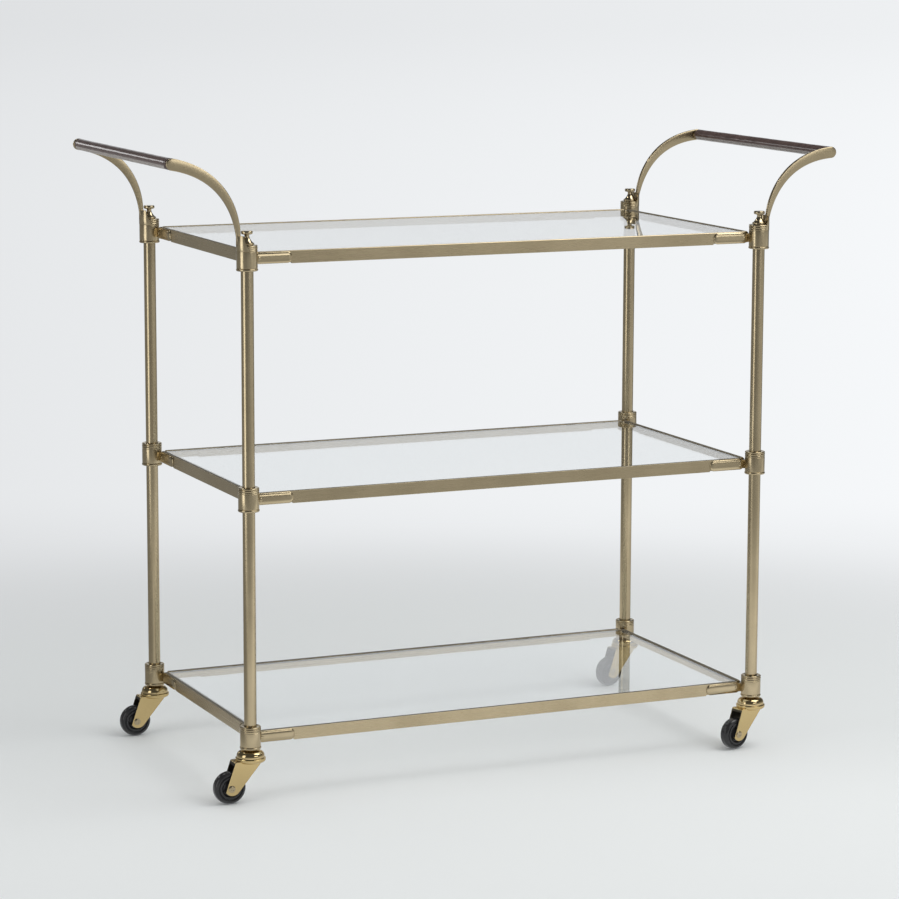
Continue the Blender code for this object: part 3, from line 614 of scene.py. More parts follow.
def brass(name, clean, tarnished, stretch, low=0.24, high=0.34, patches=0.5, bump=0.008, rubbed_and_lit=0.35,
          follows=None, shaded_tops=0.0):
    """Brass with tarnish and brushing, and where asked with pale edges for wear and painted highlight, and
    painted shade on its tops.
    """
    material, tree = new_material(name)
    colour = patchy(tree, clean, tarnished, amount=patches)["Color"]
    metallic = 1.0
    if rubbed_and_lit:
        bare_and_lit = tuple(min(1, c * BARE_AND_LIT_GAIN) for c in clean[:3]) + (1,)
        colour = shared(tree, edge_wear_and_highlight, {"Color": colour, "Bare And Lit": bare_and_lit, "Amount": rubbed_and_lit})["Color"]
    if follows:
        place = node(tree, "ShaderNodeAttribute", attribute_name=follows).outputs["Vector"]
    else:
        place = node(tree, "ShaderNodeTexCoord").outputs["Object"]
    grain = shared(tree, brushing, {
        "Place": place, "Stretch": stretch, "Rough Low": low, "Rough High": high})
    roughness = grain["Roughness"]
    # Painted shade on upward faces: darker colour, less metal, more roughness.
    if shaded_tops:
        tops = shared(tree, top_shade, {"Color": colour, "Amount": shaded_tops})
        colour = tops["Color"]
        metallic = calculate(tree, "SUBTRACT", 1.0, tops["Mask"])
        dulled = calculate(tree, "MULTIPLY", tops["Mask"], TOP_SHADE_ROUGHNESS)
        roughness = calculate(tree, "ADD", roughness, dulled)
    return covered(material, principled(tree, {
        "Base Color": colour, "Metallic": metallic, "Roughness": roughness,
        "Normal": bumped(tree, grain["Height"], bump, GRAIN_DEPTH)}))


print("worn edges are", BARE_AND_LIT_GAIN, "times as bright")

# %% Brass materials
# Each brass has its clean colour and its tarnished one. The grain is fine across the brushing, long along it.
ANTIQUE = ((0.54, 0.445, 0.283, 1), (0.41, 0.332, 0.205, 1))
BRIGHT = ((0.67, 0.515, 0.25, 1), (0.55, 0.415, 0.19, 1))
CAP = ((0.62, 0.485, 0.26, 1), (0.50, 0.385, 0.20, 1))
# The dark brass below is painted shade for the fork's wheel well.
WELL_SHADE = ((0.10, 0.088, 0.062, 1), (0.045, 0.04, 0.03, 1))
FINE = 900
LONG = 14
TURN = 50
ARM_GRAIN = 320
ALONG_X = (LONG, FINE, FINE)
ALONG_Y = (FINE, LONG, FINE)
ALONG_Z = (FINE, FINE, LONG)
ALONG_ARM = (LONG, ARM_GRAIN, ARM_GRAIN)
TURNED = (TURN, TURN, FINE)
PRESSED = (FINE, FINE, TURN)
brass_upright = brass("brass_brushed_upright", *ANTIQUE, ALONG_Z, 0.22, 0.26, bump=0.002, rubbed_and_lit=0)
brass_along_x = brass("brass_brushed_along_x", *ANTIQUE, ALONG_X)
# The next three carry painted shade on their upward faces: light for the back top rail, strong for the
# others.
brass_x_top_lightly_shaded = brass("brass_along_x_lightly_top_shaded", *ANTIQUE, ALONG_X, shaded_tops=0.3)
brass_x_top_shaded = brass("brass_along_x_top_shaded", *ANTIQUE, ALONG_X, shaded_tops=0.95)
brass_y_top_shaded = brass("brass_along_y_top_shaded", *ANTIQUE, ALONG_Y, shaded_tops=0.85)
brass_turned = brass("brass_turned", *ANTIQUE, TURNED, 0.20, 0.25, bump=0.004, rubbed_and_lit=0.3)
brass_arm = brass("brass_brushed_along_arm", *ANTIQUE, ALONG_ARM, 0.20, 0.24, bump=0.001, rubbed_and_lit=0,
                  follows="along_arm")
brass_bright = brass("brass_bright_caster", *BRIGHT, PRESSED, 0.17, 0.22, patches=0.4, bump=0.004)
brass_cap = brass("brass_polished_cap", *ANTIQUE, TURNED, 0.11, 0.15, patches=0.4, bump=0.004, rubbed_and_lit=0.3)
brass_dome = brass("brass_polished_dome", *CAP, TURNED, 0.08, 0.12, patches=0.4, bump=0.003, rubbed_and_lit=0)
brass_well_shade = brass("brass_painted_well_shade", *WELL_SHADE, PRESSED, 0.45, 0.6, patches=0.8, bump=0.01, rubbed_and_lit=0)
print("brass finishes:", sum(m.name.startswith("brass") for m in bpy.data.materials))

# %% [markdown]
# ## Glass, leather, thread and wheels
# The shelves are clear float glass, so their faces stay nearly perfect, with only a trace of dust, and
# the green only shows at the edges. The grips are glossy dark leather sewn with pale waxed thread, and the
# wheels moulded plastic.

# %% Glass
# Its colour where clean and where smeared, and how fine the smears are.
GLASS = ((0.954, 0.977, 0.979, 1), (0.940, 0.964, 0.968, 1), 5.0)
GLASS_LETS_THROUGH = (0.996, 0.998, 0.998, 1)
GLASS_IOR = 1.5
SMEARS = (0.2, 0.5, 0.0, 0.012)


def glass_material():
    """Clear float glass with a faint green body and a trace of dust, which lets the lamps' light through."""
    material, tree = new_material("float_glass")
    smears = patchy(tree, *GLASS)
    body = principled(tree, {
        "Base Color": smears["Color"], "Roughness": ramp(tree, smears["Mask"], *SMEARS), "IOR": GLASS_IOR,
        "Transmission Weight": 1.0})
    clear = node(tree, "ShaderNodeBsdfTransparent", {"Color": GLASS_LETS_THROUGH}).outputs[0]
    rays = node(tree, "ShaderNodeLightPath").outputs
    light_ray = calculate(tree, "MAXIMUM", rays["Is Shadow Ray"], rays["Is Diffuse Ray"])
    return covered(material, mix_shaders(tree, light_ray, body, clear))


glass = glass_material()
print("glass bends light by", GLASS_IOR)

# %% Leather, thread and wheels
# Each finish has its clean colour, the colour of its patches, and how fine and how strong they are.
LEATHER = ((0.105, 0.066, 0.058, 1), (0.062, 0.038, 0.033, 1), 60.0, 0.8)
THREAD = ((0.44, 0.41, 0.385, 1), (0.22, 0.20, 0.19, 1), 700.0)
BLACK = ((0.016, 0.016, 0.017, 1), (0.035, 0.034, 0.033, 1), 90.0)
LEATHER_GLOSS = (0, 1, 0.28, 0.42, "LINEAR")
WHEEL_GLOSS = (0, 1, 0.12, 0.26, "LINEAR")
THREAD_ROUGHNESS = 0.6
PORES = 900
PORE_STRENGTH = 0.08
PORE_DEPTH = 0.0003


def leather_material():
    """Dark glazed leather with a fine pore grain and darker patches from handling."""
    material, tree = new_material("leather_dark_glazed")
    patches = patchy(tree, *LEATHER)
    where = node(tree, "ShaderNodeTexCoord").outputs["Object"]
    pores = node(tree, "ShaderNodeTexVoronoi", {"Vector": where, "Scale": PORES},
                 feature="SMOOTH_F1").outputs["Distance"]
    return covered(material, principled(tree, {
        "Base Color": patches["Color"], "Roughness": ramp(tree, pores, *LEATHER_GLOSS),
        "Specular IOR Level": 0.15, "Coat Weight": 0.65, "Coat Roughness": 0.10,
        "Normal": bumped(tree, pores, PORE_STRENGTH, PORE_DEPTH)}))


def thread_material():
    """Pale waxed linen thread with darker flecks."""
    material, tree = new_material("thread_waxed")
    colour = patchy(tree, *THREAD)["Color"]
    return covered(material, principled(tree, {"Base Color": colour, "Roughness": THREAD_ROUGHNESS}))


def wheel_material():
    """Glossy black moulded plastic with slight scuffs."""
    material, tree = new_material("wheel_black")
    patches = patchy(tree, *BLACK)
    return covered(material, principled(tree, {
        "Base Color": patches["Color"], "Roughness": ramp(tree, patches["Mask"], *WHEEL_GLOSS)}))


leather = leather_material()
thread_waxed = thread_material()
wheel_black = wheel_material()
print("materials:", len(bpy.data.materials))

# %% [markdown]
# ## Rails and shelves
# The rails are plain angle bars with eased edges, and the shelves plain sheets of glass. The CAD already has
# those shapes exactly, so these pieces stay as they are and only get their finish. A CAD piece's mesh isn't
# touched: the finish goes into its material slot.

# %% Finishes on the CAD's own rails and shelves
TIERS = ("bottom", "middle", "top")


def dress(name, material):
    """Give a CAD node its finish."""
    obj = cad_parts[name]
    if not obj.material_slots:
        obj.data.materials.append(material)
    for slot in obj.material_slots:
        slot.material = material


# Every rail but the front top one gets brass with painted shade on its upward faces.
for tier in TIERS:
    dress("shelf_glass_" + tier, glass)
    dress("rail_" + tier + "_front", brass_along_x if tier == "top" else brass_x_top_shaded)
    dress("rail_" + tier + "_back", brass_x_top_lightly_shaded if tier == "top" else brass_x_top_shaded)
    for side in ("_left", "_right"):
        dress("rail_" + tier + side, brass_y_top_shaded)
print("dressed", 5 * len(TIERS), "CAD nodes")

# %% [markdown]
# ## Soft boxes kept out of the glass
# Seen from the side, a shelf mirrors a soft box as a hard white patch. A photographer hangs flags between
# the lamps and the glass. Light linking does the same here: the lamps light everything but the shelves,
# which still mirror the studio round them.

# %% Flags for the shelves
flagged = bpy.data.collections.new("flagged_from_lamps")
for tier in TIERS:
    flagged.objects.link(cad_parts["shelf_glass_" + tier])
for member in flagged.collection_objects:
    member.light_linking.link_state = "EXCLUDE"
for name in LAMPS:
    bpy.data.objects[name].light_linking.receiver_collection = flagged

# %% [markdown]
# ## Posts
# Each post is a drawn tube. Its ends are hidden, by the finial above and the caster's stem below, so all
# that matters is a true round section: 64 sides keep the long reflections on it straight and smooth.

# %% Posts
POST_R = 0.0095
POST_BORE_R = 0.0077
TUBE_EASE = 0.0003
for corner in CORNERS:
    low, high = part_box("post_" + corner)
    tube = [(POST_R, high.z, TUBE_EASE), (POST_R, low.z, TUBE_EASE),
            (POST_BORE_R, low.z, 0), (POST_BORE_R, high.z, 0)]
    mesh = copied(turned("post_tube", eased(tube)), on_post(corner))
    piece("post_tube_" + corner, mesh, brass_upright, "root", ["post_" + corner])
print("posts:", round(high.z - low.z, 3), "m long")

# %% [markdown]
# ## Hubs
# The hubs are castings, finished on a lathe: two beads round the top, a plain barrel with a fine line, and
# a rolled lip at the foot. Each holds two rails by a strap laid along them, with a rounded rim and one
# screw. A profile with rounded corners gives every bead its own thin highlight, which is what the eye reads
# as turned metal. The parts are joined with Booleans, because a casting is one piece of metal.

# %% The turned body of a hub
RAIL_H = 0.019
HUB_R = 0.016
BARREL_R = HUB_R - 0.0002
LIP_R = HUB_R + 0.00035
HUB_BORE_R = 0.0098
HUB_DROP = {"bottom": 0.0038, "middle": 0.0055, "top": 0.0073}
HUB_RISE = {"bottom": 0.0123, "middle": 0.0122, "top": 0.0122}
# Radius, depth under the top face, ease: two beads, a groove after each, and the barrel's fine line.
HUB_UPPER = [
    (HUB_BORE_R, 0.0006, 0), (HUB_R - 0.0013, 0, 0.0007), (HUB_R, 0.0010, 0.0007), (HUB_R, 0.0024, 0.0007),
    (HUB_R - 0.0010, 0.0031, 0.0004), (HUB_R, 0.0038, 0.0007), (HUB_R, 0.0056, 0.0007),
    (HUB_R - 0.0008, 0.0062, 0.0003), (BARREL_R, 0.0069, 0.0004), (BARREL_R, 0.0088, 0.0001),
    (BARREL_R - 0.0003, 0.0091, 0.0001), (BARREL_R, 0.0094, 0.0001)]
# Radius, height over the foot, ease: the groove over the lip, and the lip.
HUB_LOWER = [
    (BARREL_R, 0.0044, 0.0004), (BARREL_R - 0.0006, 0.0038, 0.0003), (LIP_R, 0.0031, 0.0007),
    (LIP_R, 0.0010, 0.0009), (HUB_R - 0.0006, 0, 0.0006), (HUB_BORE_R, 0, 0)]


def hub_body(bottom, top):
    """The turned ring between two heights."""
    upper = [(radius, top - down, ease) for radius, down, ease in HUB_UPPER]
    lower = [(radius, bottom + up, ease) for radius, up, ease in HUB_LOWER]
    return turned("hub_body", eased(upper + lower, 3))


print("hubs:", 2 * HUB_R, "m across")

# %% Straps and necks
STRAP_NEAR = 0.0143
STRAP_FAR = 0.0750
STRAP_H = 0.0175
STRAP_T = 0.0027
STRAP_CORNER = 0.0074
STRAP_CROWN = 0.0070
CROWN_STEPS = 10
CORNER_STEPS = 8
STRAP_FACE = 0.0075
NECK_FROM = 0.0120
NECK_TO = 0.0182
NECK_T = 0.0070
NECK_FACE = 0.0084
NECK_H = 0.0135
AXIS_SWAP = Matrix(((0, 1, 0, 0), (1, 0, 0, 0), (0, 0, 1, 0), (0, 0, 0, 1)))


def rounded_rectangle(width, height, radius):
    """The outline of a rectangle with round corners."""
    points = []
    for x, z, start in ((1, -1, -90), (1, 1, 0), (-1, 1, 90), (-1, -1, 180)):
        centre = (x * (width / 2 - radius), z * (height / 2 - radius))
        points += arc(centre, radius, start, start + 90, CORNER_STEPS)
    return points


def strap():
    """The raised strap along +X: outlines that shrink as they rise give it a broad soft crown towards -Y."""
    length = STRAP_FAR - STRAP_NEAR
    shape = bmesh.new()
    rings = []
    for k in range(CROWN_STEPS + 1):
        level, rise = polar(1, 90 * k / CROWN_STEPS)
        inset = STRAP_CROWN * (1 - level)
        outline = rounded_rectangle(length - 2 * inset, STRAP_H - 2 * inset, STRAP_CORNER - inset)
        rings.append([shape.verts.new((x, -STRAP_T * rise, z)) for x, z in outline])
    skin(shape, rings)
    shape.faces.new(rings[0])
    shape.faces.new(rings[-1])
    mesh = new_mesh(shape, "strap")
    mesh.transform(Matrix.Translation(((STRAP_NEAR + STRAP_FAR) / 2, STRAP_FACE + STRAP_T, 0)))
    return mesh


def neck():
    """The block behind a strap that ties it to the hub."""
    size = (NECK_TO - NECK_FROM, NECK_T, NECK_H)
    return block("neck", size, ((NECK_FROM + NECK_TO) / 2, NECK_FACE + NECK_T / 2, 0))


def swapped(mesh):
    """The same mesh laid along Y instead of X."""
    made = copied(mesh, AXIS_SWAP)
    made.flip_normals()
    return made


print("straps:", round(STRAP_FAR - STRAP_NEAR, 4), "m long")

# %% The lug that holds a handle arm
LUG_H = 0.0140
LUG_WALL = 0.0048
LUG_SKIRT = 0.0090
LUG_PROUD = 0.0001
LUG_TOP_DEG = 55
LUG_FOOT_DEG = 80
LUG_FOOT_DROP = 0.0042
LUG_EASE = 0.0004
SCOOP_R = 0.030
SCOOP_SIDES = 160
CUT_LENGTH = 0.04
REST_H = 0.03
REST_MIDDLE = 0.0025
SLOT_H = 0.02
ARM_T = 0.005
SLOT_FIT = 0.0003


def lug():
    """A crescent wall facing +X, scooped towards the finial and slotted for the arm."""
    outer = HUB_R + LUG_PROUD
    inner = HUB_R - LUG_WALL
    wall = turned("lug_wall", [(outer, LUG_H), (outer, -LUG_SKIRT), (inner, -LUG_SKIRT), (inner, LUG_H)])
    high = Vector((polar(HUB_R, LUG_TOP_DEG)[0], LUG_H))
    low = Vector((polar(HUB_R, LUG_FOOT_DEG)[0], -LUG_FOOT_DROP))
    chord = high - low
    inward = Vector((-chord.y, chord.x)).normalized()
    hollow = (high + low) / 2 + inward * math.sqrt(SCOOP_R ** 2 - (chord.length / 2) ** 2)
    scoop = rod("scoop", SCOOP_R, CUT_LENGTH, (0, 1, 0), (hollow.x, 0, hollow.y), SCOOP_SIDES)
    rest = block("rest", (CUT_LENGTH, CUT_LENGTH, REST_H), (low.x - CUT_LENGTH / 2, 0, REST_MIDDLE))
    slot = block("slot", (HUB_R, ARM_T + 2 * SLOT_FIT, SLOT_H), (HUB_R, 0, SLOT_H / 2))
    return boolean("lug", wall, "DIFFERENCE", [scoop, rest, slot], LUG_EASE)


lug_wall = lug()
print("lug:", len(lug_wall.polygons), "faces")

# %% All twelve hubs
# Opposite corners share a pattern, turned half round.
HUB_TURNS = {"left": {"front_left": 0, "back_right": 180}, "right": {"front_right": 90, "back_left": 270}}
LUG_FACES = {"left": 180, "right": -90}


def turn_z(deg):
    """A turn about Z."""
    return Matrix.Rotation(math.radians(deg), 4, "Z")


strap_x = strap()
neck_x = neck()
rail_middles = {tier: middle("rail_" + tier + "_front").z for tier in TIERS}
for tier in TIERS:
    bottom = -HUB_DROP[tier] - RAIL_H / 2
    top = RAIL_H / 2 + HUB_RISE[tier]
    for hand, turns in HUB_TURNS.items():
        others = [strap_x, swapped(strap_x), neck_x, swapped(neck_x)]
        if tier == "top":
            others.append(copied(lug_wall, Matrix.Translation((0, 0, top)) @ turn_z(LUG_FACES[hand])))
        pattern = boolean("hub_" + tier + "_" + hand, hub_body(bottom, top), "UNION", others)
        for corner, turn in turns.items():
            mesh = copied(pattern, on_post(corner, rail_middles[tier]) @ turn_z(turn))
            name = tier + "_" + corner
            piece("cast_hub_" + name, mesh, brass_turned, "root", ["hub_" + name])
    print(tier, "hub:", len(pattern.polygons), "faces")

# %% Screws
SCREW_AT = 0.0219
SCREW_R = 0.0029
SCREW_PROUD = 0.0008
SCREW_SUNK = 0.0004
SCREW_STEP_DEG = 15
SCREW_SIDES = 32
SCREW_SLOT = (2 * SCREW_R, 0.0007, 0.0010)
SCREW_SLOT_UP = 0.0001


def screw():
    """A low domed screw head facing +Z, with a slot."""
    spokes = [polar(1, a) for a in range(0, 91, SCREW_STEP_DEG)]
    dome = [(SCREW_R * out, SCREW_PROUD * up) for up, out in spokes]
    head = turned("screw_head", dome + [(SCREW_R, -SCREW_SUNK), (0, -SCREW_SUNK)], SCREW_SIDES)
    slot = block("screw_slot", SCREW_SLOT, (0, 0, SCREW_PROUD + SCREW_SLOT_UP))
    return boolean("screw", head, "DIFFERENCE", [slot])


screw_head = screw()
screws = []
for tier in TIERS:
    for corner, (x_sign, y_sign) in CORNERS.items():
        lie = {"x": (-x_sign * SCREW_AT, -y_sign * STRAP_FACE, (0, y_sign, 0)),
               "y": (-x_sign * STRAP_FACE, -y_sign * SCREW_AT, (x_sign, 0, 0))}
        for run, (x, y, facing) in lie.items():
            turn = Vector(facing).to_track_quat("Z", "Y").to_matrix().to_4x4()
            place = on_post(corner, rail_middles[tier]) @ Matrix.Translation((x, y, 0))
            name = "screw_" + tier + "_" + corner + "_" + run
            screws.append(piece(name, copied(screw_head, place @ turn), brass_cap, "root"))
print("screws:", len(screws))

# %% [markdown]
# ## Finials
# The finial is a small polished turning, a thick round-edged disc on a waisted neck over a hollow cone. A
# round edge on the disc throws a bright band between two dark lines, so the rounding matters more here
# than the number of steps.

# %% Finials
FINIAL_RING_R = 0.0108
FINIAL_CONE_R = 0.0095
FINIAL_NECK_R = 0.0036
FINIAL_DISC_R = 0.0089
SPIGOT_R = 0.0074
SPIGOT = 0.020
RING_H = 0.0030
CONE_H = 0.0105
CONE_STEPS = 12
NECK_LENGTH = 0.0016
DISC_H = 0.0056


def finial():
    """The finial's mesh, with zero at the face it stands on."""
    cone_top = RING_H + CONE_H
    disc_under = cone_top + NECK_LENGTH
    top = disc_under + DISC_H
    flare = FINIAL_CONE_R - FINIAL_NECK_R
    cone = [(FINIAL_NECK_R + flare * (i / CONE_STEPS) ** 2, cone_top - CONE_H * i / CONE_STEPS, 0)
            for i in range(1, CONE_STEPS)]
    return turned("finial", eased([
        (0, top, 0),
        (FINIAL_DISC_R - 0.0006, top, 0.0016),
        (FINIAL_DISC_R, top - 0.0026, 0.0014),
        (FINIAL_DISC_R - 0.0006, disc_under + 0.0003, 0.0016),
        (FINIAL_NECK_R + 0.0004, disc_under, 0.0006),
        (FINIAL_NECK_R, cone_top - 0.0004, 0.0006),
        *cone,
        (FINIAL_CONE_R, RING_H, 0.0003),
        (FINIAL_RING_R, RING_H - 0.0003, 0.0008),
        (FINIAL_RING_R, 0.0001, 0.0008),
        (SPIGOT_R, 0, 0),
        (SPIGOT_R, -SPIGOT, 0),
        (0, -SPIGOT, 0),
    ]))


for corner in CORNERS:
    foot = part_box("finial_" + corner)[0].z + SPIGOT
    mesh = copied(finial(), on_post(corner, foot))
    piece("turned_finial_" + corner, mesh, brass_cap, "root", ["finial_" + corner])
hub_top = foot - SLOT_FIT
print("hub tops at", round(hub_top, 4))

# %% [markdown]
# ## Handle arms
# An arm is flat bar, bent to a curve and ground so that it swells from a narrow foot to a round tip. It is
# drawn as one Bezier curve with a width that grows along it, and a section with rounded rims runs along it.
# The brushing on the real bar follows the bend, so each vertex stores how far along the bar it lies, and the
# material stretches its grain along that number.

# %% The arm's curve
ARM_FOOT_OUT = 0.0132
ARM_REACH = 0.1138
ARM_RISE = 0.1092
ARM_FOOT_W = 0.0042
ARM_TIP_W = 0.018
ARM_FOOT_DEG = 86
ARM_TIP_DEG = 5
ARM_FOOT_PULL = 0.0347
ARM_TIP_PULL = 0.0895
ARM_SWELL_POWER = 0.76
ARM_STEPS = 48
PITCH_DEG = {"left": 6, "right": 0}


def arm_rows(side):
    """Centre, heading and half width along the arm, from the post's axis and the hub's top."""
    pitch = math.radians(PITCH_DEG[side])
    start = Vector((ARM_FOOT_OUT, SLOT_FIT + ARM_FOOT_W / 2 * math.sin(pitch)))
    foot = Vector((0, 0))
    tip = Vector((ARM_REACH, ARM_RISE))
    pull_a = foot + Vector(polar(ARM_FOOT_PULL, ARM_FOOT_DEG))
    pull_b = tip - Vector(polar(ARM_TIP_PULL, ARM_TIP_DEG))
    turn = Matrix.Rotation(pitch, 2)
    rows = []
    for i in range(ARM_STEPS + 1):
        t = i / ARM_STEPS
        s = 1 - t
        point = s ** 3 * foot + 3 * s * s * t * pull_a + 3 * s * t * t * pull_b + t ** 3 * tip
        ahead = s * s * (pull_a - foot) + 2 * s * t * (pull_b - pull_a) + t * t * (tip - pull_b)
        width = ARM_FOOT_W + (ARM_TIP_W - ARM_FOOT_W) * t ** ARM_SWELL_POWER
        rows.append((start + turn @ point, (turn @ ahead).normalized(), width / 2))
    return rows


print("arm rises", round(arm_rows("right")[-1][0].y, 4), "m")

# %% Arms
ARM_RIM = 0.0013
RIM_STEPS = 4
TIP_STEPS = 12


def arm_section():
    """One edge of the bar's section, front to back: how far in from the edge, and where in the thickness."""
    spokes = [polar(ARM_RIM, 90 * k / RIM_STEPS) for k in range(RIM_STEPS + 1)]
    rim = [(ARM_RIM - out, ARM_T / 2 - ARM_RIM + up) for out, up in spokes]
    return [(inset, -y) for inset, y in reversed(rim)] + rim


def arm_ring(shape, mark, row, reach, turn_deg):
    """A ring across the bar, or beyond its last row by a turn about the tip's centre."""
    centre, ahead, half = row
    across = Vector((-ahead.y, ahead.x))
    section = arm_section()
    ring = []
    for sign, edge in ((1, section), (-1, section[::-1])):
        for inset, y in edge:
            out, beyond = polar(half - inset, turn_deg)
            flat = centre + across * sign * out + ahead * beyond
            ring.append(shape.verts.new((flat.x, y, flat.y)))
            ring[-1][mark] = (reach + beyond, sign * out, y)
    return ring


def arm_bar(side):
    """The arm as rings round the bar, ending in a round tip; each point knows how far along it lies."""
    rows = arm_rows(side)
    shape = bmesh.new()
    mark = shape.verts.layers.float_vector.new("along_arm")
    rings = []
    reach = 0
    for i, row in enumerate(rows):
        reach += (row[0] - rows[max(i - 1, 0)][0]).length
        rings.append(arm_ring(shape, mark, row, reach, 0))
    for k in range(1, TIP_STEPS + 1):
        rings.append(arm_ring(shape, mark, rows[-1], reach, 90 * k / TIP_STEPS))
    skin(shape, rings)
    shape.faces.new(rings[0])
    return new_mesh(shape, "bent_arm")


for corner, (x_sign, _) in CORNERS.items():
    mesh = arm_bar(corner.split("_")[1])
    mesh.transform(Matrix.Diagonal((x_sign, 1, 1, 1)))
    if x_sign < 0:
        mesh.flip_normals()
    mesh.transform(on_post(corner, hub_top))
    piece("bent_arm_" + corner, mesh, brass_arm, "root", ["handle_arm_" + corner])
print("arm:", len(mesh.polygons), "faces")

# %% [markdown]
# ## Grips
# A brass bar with a collar at each end joins the two arms. The sleeve round it is a strip of dark
# leather, pulled tight and sewn edge to edge underneath. The sleeve is built as a tube whose radius dips
# where the two edges meet and swells a little beside it, and the thread is real geometry, because stitches
# are what shows that a sleeve is leather and not paint.

# %% Collars
CORE_R = 0.006
COLLAR_R = 0.00775
COLLAR_W = 0.003
COLLAR_EASE = 0.0004
COLLAR_SIDES = 48
GROOVE_R = COLLAR_R - 0.0005
ARM_CLEAR = 0.0001
for side in ("left", "right"):
    low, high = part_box("grip_core_" + side)
    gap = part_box("handle_arm_back_" + side)[0].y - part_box("handle_arm_front_" + side)[1].y
    half = gap / 2 - ARM_CLEAR
    end = [(0, half, 0), (COLLAR_R, half, COLLAR_EASE), (COLLAR_R, half - 0.0011, 0.0002),
           (GROOVE_R, half - 0.0014, 0.0001), (COLLAR_R, half - 0.0017, 0.0002),
           (COLLAR_R, half - COLLAR_W, COLLAR_EASE), (CORE_R, half - COLLAR_W, 0)]
    mesh = turned("collared_bar", eased(both_sides(end), 3), COLLAR_SIDES)
    mesh.transform(Matrix.Translation((low + high) / 2) @ Matrix.Rotation(math.pi / 2, 4, "X"))
    piece("collared_bar_" + side, mesh, brass_cap, "root", ["grip_core_" + side])
print("bar:", round(2 * half, 4), "m between the arms")

# %% The sleeve's surface
SLEEVE_R = 0.0088
SEAM_DEG = 213
SEAM_DIP = 0.0007
DIP_WIDTH_DEG = 3.2
SEAM_SWELL = 0.0002
SWELL_OFF_DEG = 11
SWELL_WIDTH_DEG = 5
CREASE = 0.00018
CREASE_AT = 0.0042
CREASE_WIDTH = 0.0007
END_ROLL = 0.0011
# Slow waves where the leather was pulled tight: how high, and how fast they run along the bar.
WIDE_WAVE = (0.00005, 61)
SHORT_WAVE = (0.00004, 143)
WAVE_START = 2


def hump(off, width):
    """A smooth hump, one high in its middle."""
    return math.exp(-(off / width) ** 2)


def sleeve_radius(turn_deg, y, half):
    """The sleeve's outer radius at an angle round the bar and a place along it."""
    away = abs((turn_deg - SEAM_DEG + 180) % 360 - 180)
    seam = SEAM_SWELL * hump(away - SWELL_OFF_DEG, SWELL_WIDTH_DEG) - SEAM_DIP * hump(away, DIP_WIDTH_DEG)
    from_end = half - abs(y)
    crease = -CREASE * hump(from_end - CREASE_AT, CREASE_WIDTH)
    pull = WIDE_WAVE[0] * math.sin(y * WIDE_WAVE[1] + math.radians(turn_deg))
    pull += SHORT_WAVE[0] * math.sin(y * SHORT_WAVE[1] + WAVE_START)
    rolled = END_ROLL * (1 - math.sqrt(max(0, 1 - (1 - min(1, from_end / END_ROLL)) ** 2)))
    return SLEEVE_R + seam + crease + pull - rolled


print("seam dips", SEAM_DIP, "m")

# %% Leather sleeves
SLEEVE_BORE = 0.0063
SLEEVE_ROWS = 150
SLEEVE_COLUMNS = 96
SLEEVE_END = 0.0055
END_ROWS = 16
SEAM_SPAN_DEG = 14
SEAM_COLUMNS = 32


def sleeve(half):
    """A leather tube along Y with a sewn seam, finer at its ends and round the seam."""
    shape = bmesh.new()
    ends = [half - SLEEVE_END * i / END_ROWS for i in range(END_ROWS)]
    places = ends + [(half - SLEEVE_END) * (1 - 2 * i / SLEEVE_ROWS) for i in range(SLEEVE_ROWS + 1)]
    places += [-p for p in reversed(ends)]
    turns = [SEAM_DEG + SEAM_SPAN_DEG * (2 * i / SEAM_COLUMNS - 1) for i in range(SEAM_COLUMNS)]
    wide = SLEEVE_COLUMNS - SEAM_COLUMNS
    turns += [SEAM_DEG + SEAM_SPAN_DEG + (360 - 2 * SEAM_SPAN_DEG) * i / wide for i in range(wide)]
    rings = [[(sleeve_radius(turn, y, half), turn, y) for turn in turns] for y in places]
    rings += [[(SLEEVE_BORE, turn, y) for turn in turns] for y in (-half, half)]
    skin(shape, [[shape.verts.new((polar(radius, turn)[0], y, polar(radius, turn)[1]))
                  for radius, turn, y in ring] for ring in rings], closed=True)
    return new_mesh(shape, "sleeve")


print("sleeve:", SLEEVE_COLUMNS, "points round,", SEAM_COLUMNS, "of them at the seam")

# %% Thread
STITCH_PITCH = 0.0029
STITCH_SPAN_DEG = 23
STITCH_STEPS = 8
STITCH_FROM_END = 0.007
STITCH_BITE = 0.0002
THREAD_R = 0.00042
THREAD_SIDES = 6
THREAD_TAPER = 0.45
NEVER_ALONG = Vector((0.1, 0.2, 1))
# Each stitch is two crossed threads: which way each leans, and how far it lifts off the leather.
CROSSING = ((1, 0.00015), (-1, 0.0004))


def thread_tube(shape, points):
    """Add a closed thread with tapered ends along a few points."""
    rings = []
    for i, point in enumerate(points):
        ahead = (points[min(i + 1, len(points) - 1)] - points[max(i - 1, 0)]).normalized()
        side = ahead.cross(NEVER_ALONG).normalized()
        up = side.cross(ahead)
        thick = THREAD_R * (THREAD_TAPER if i in (0, len(points) - 1) else 1)
        spokes = [polar(thick, 360 * k / THREAD_SIDES) for k in range(THREAD_SIDES)]
        rings.append([shape.verts.new(point + x * side + y * up) for x, y in spokes])
    skin(shape, rings)
    shape.faces.new(rings[0])
    shape.faces.new(rings[-1])


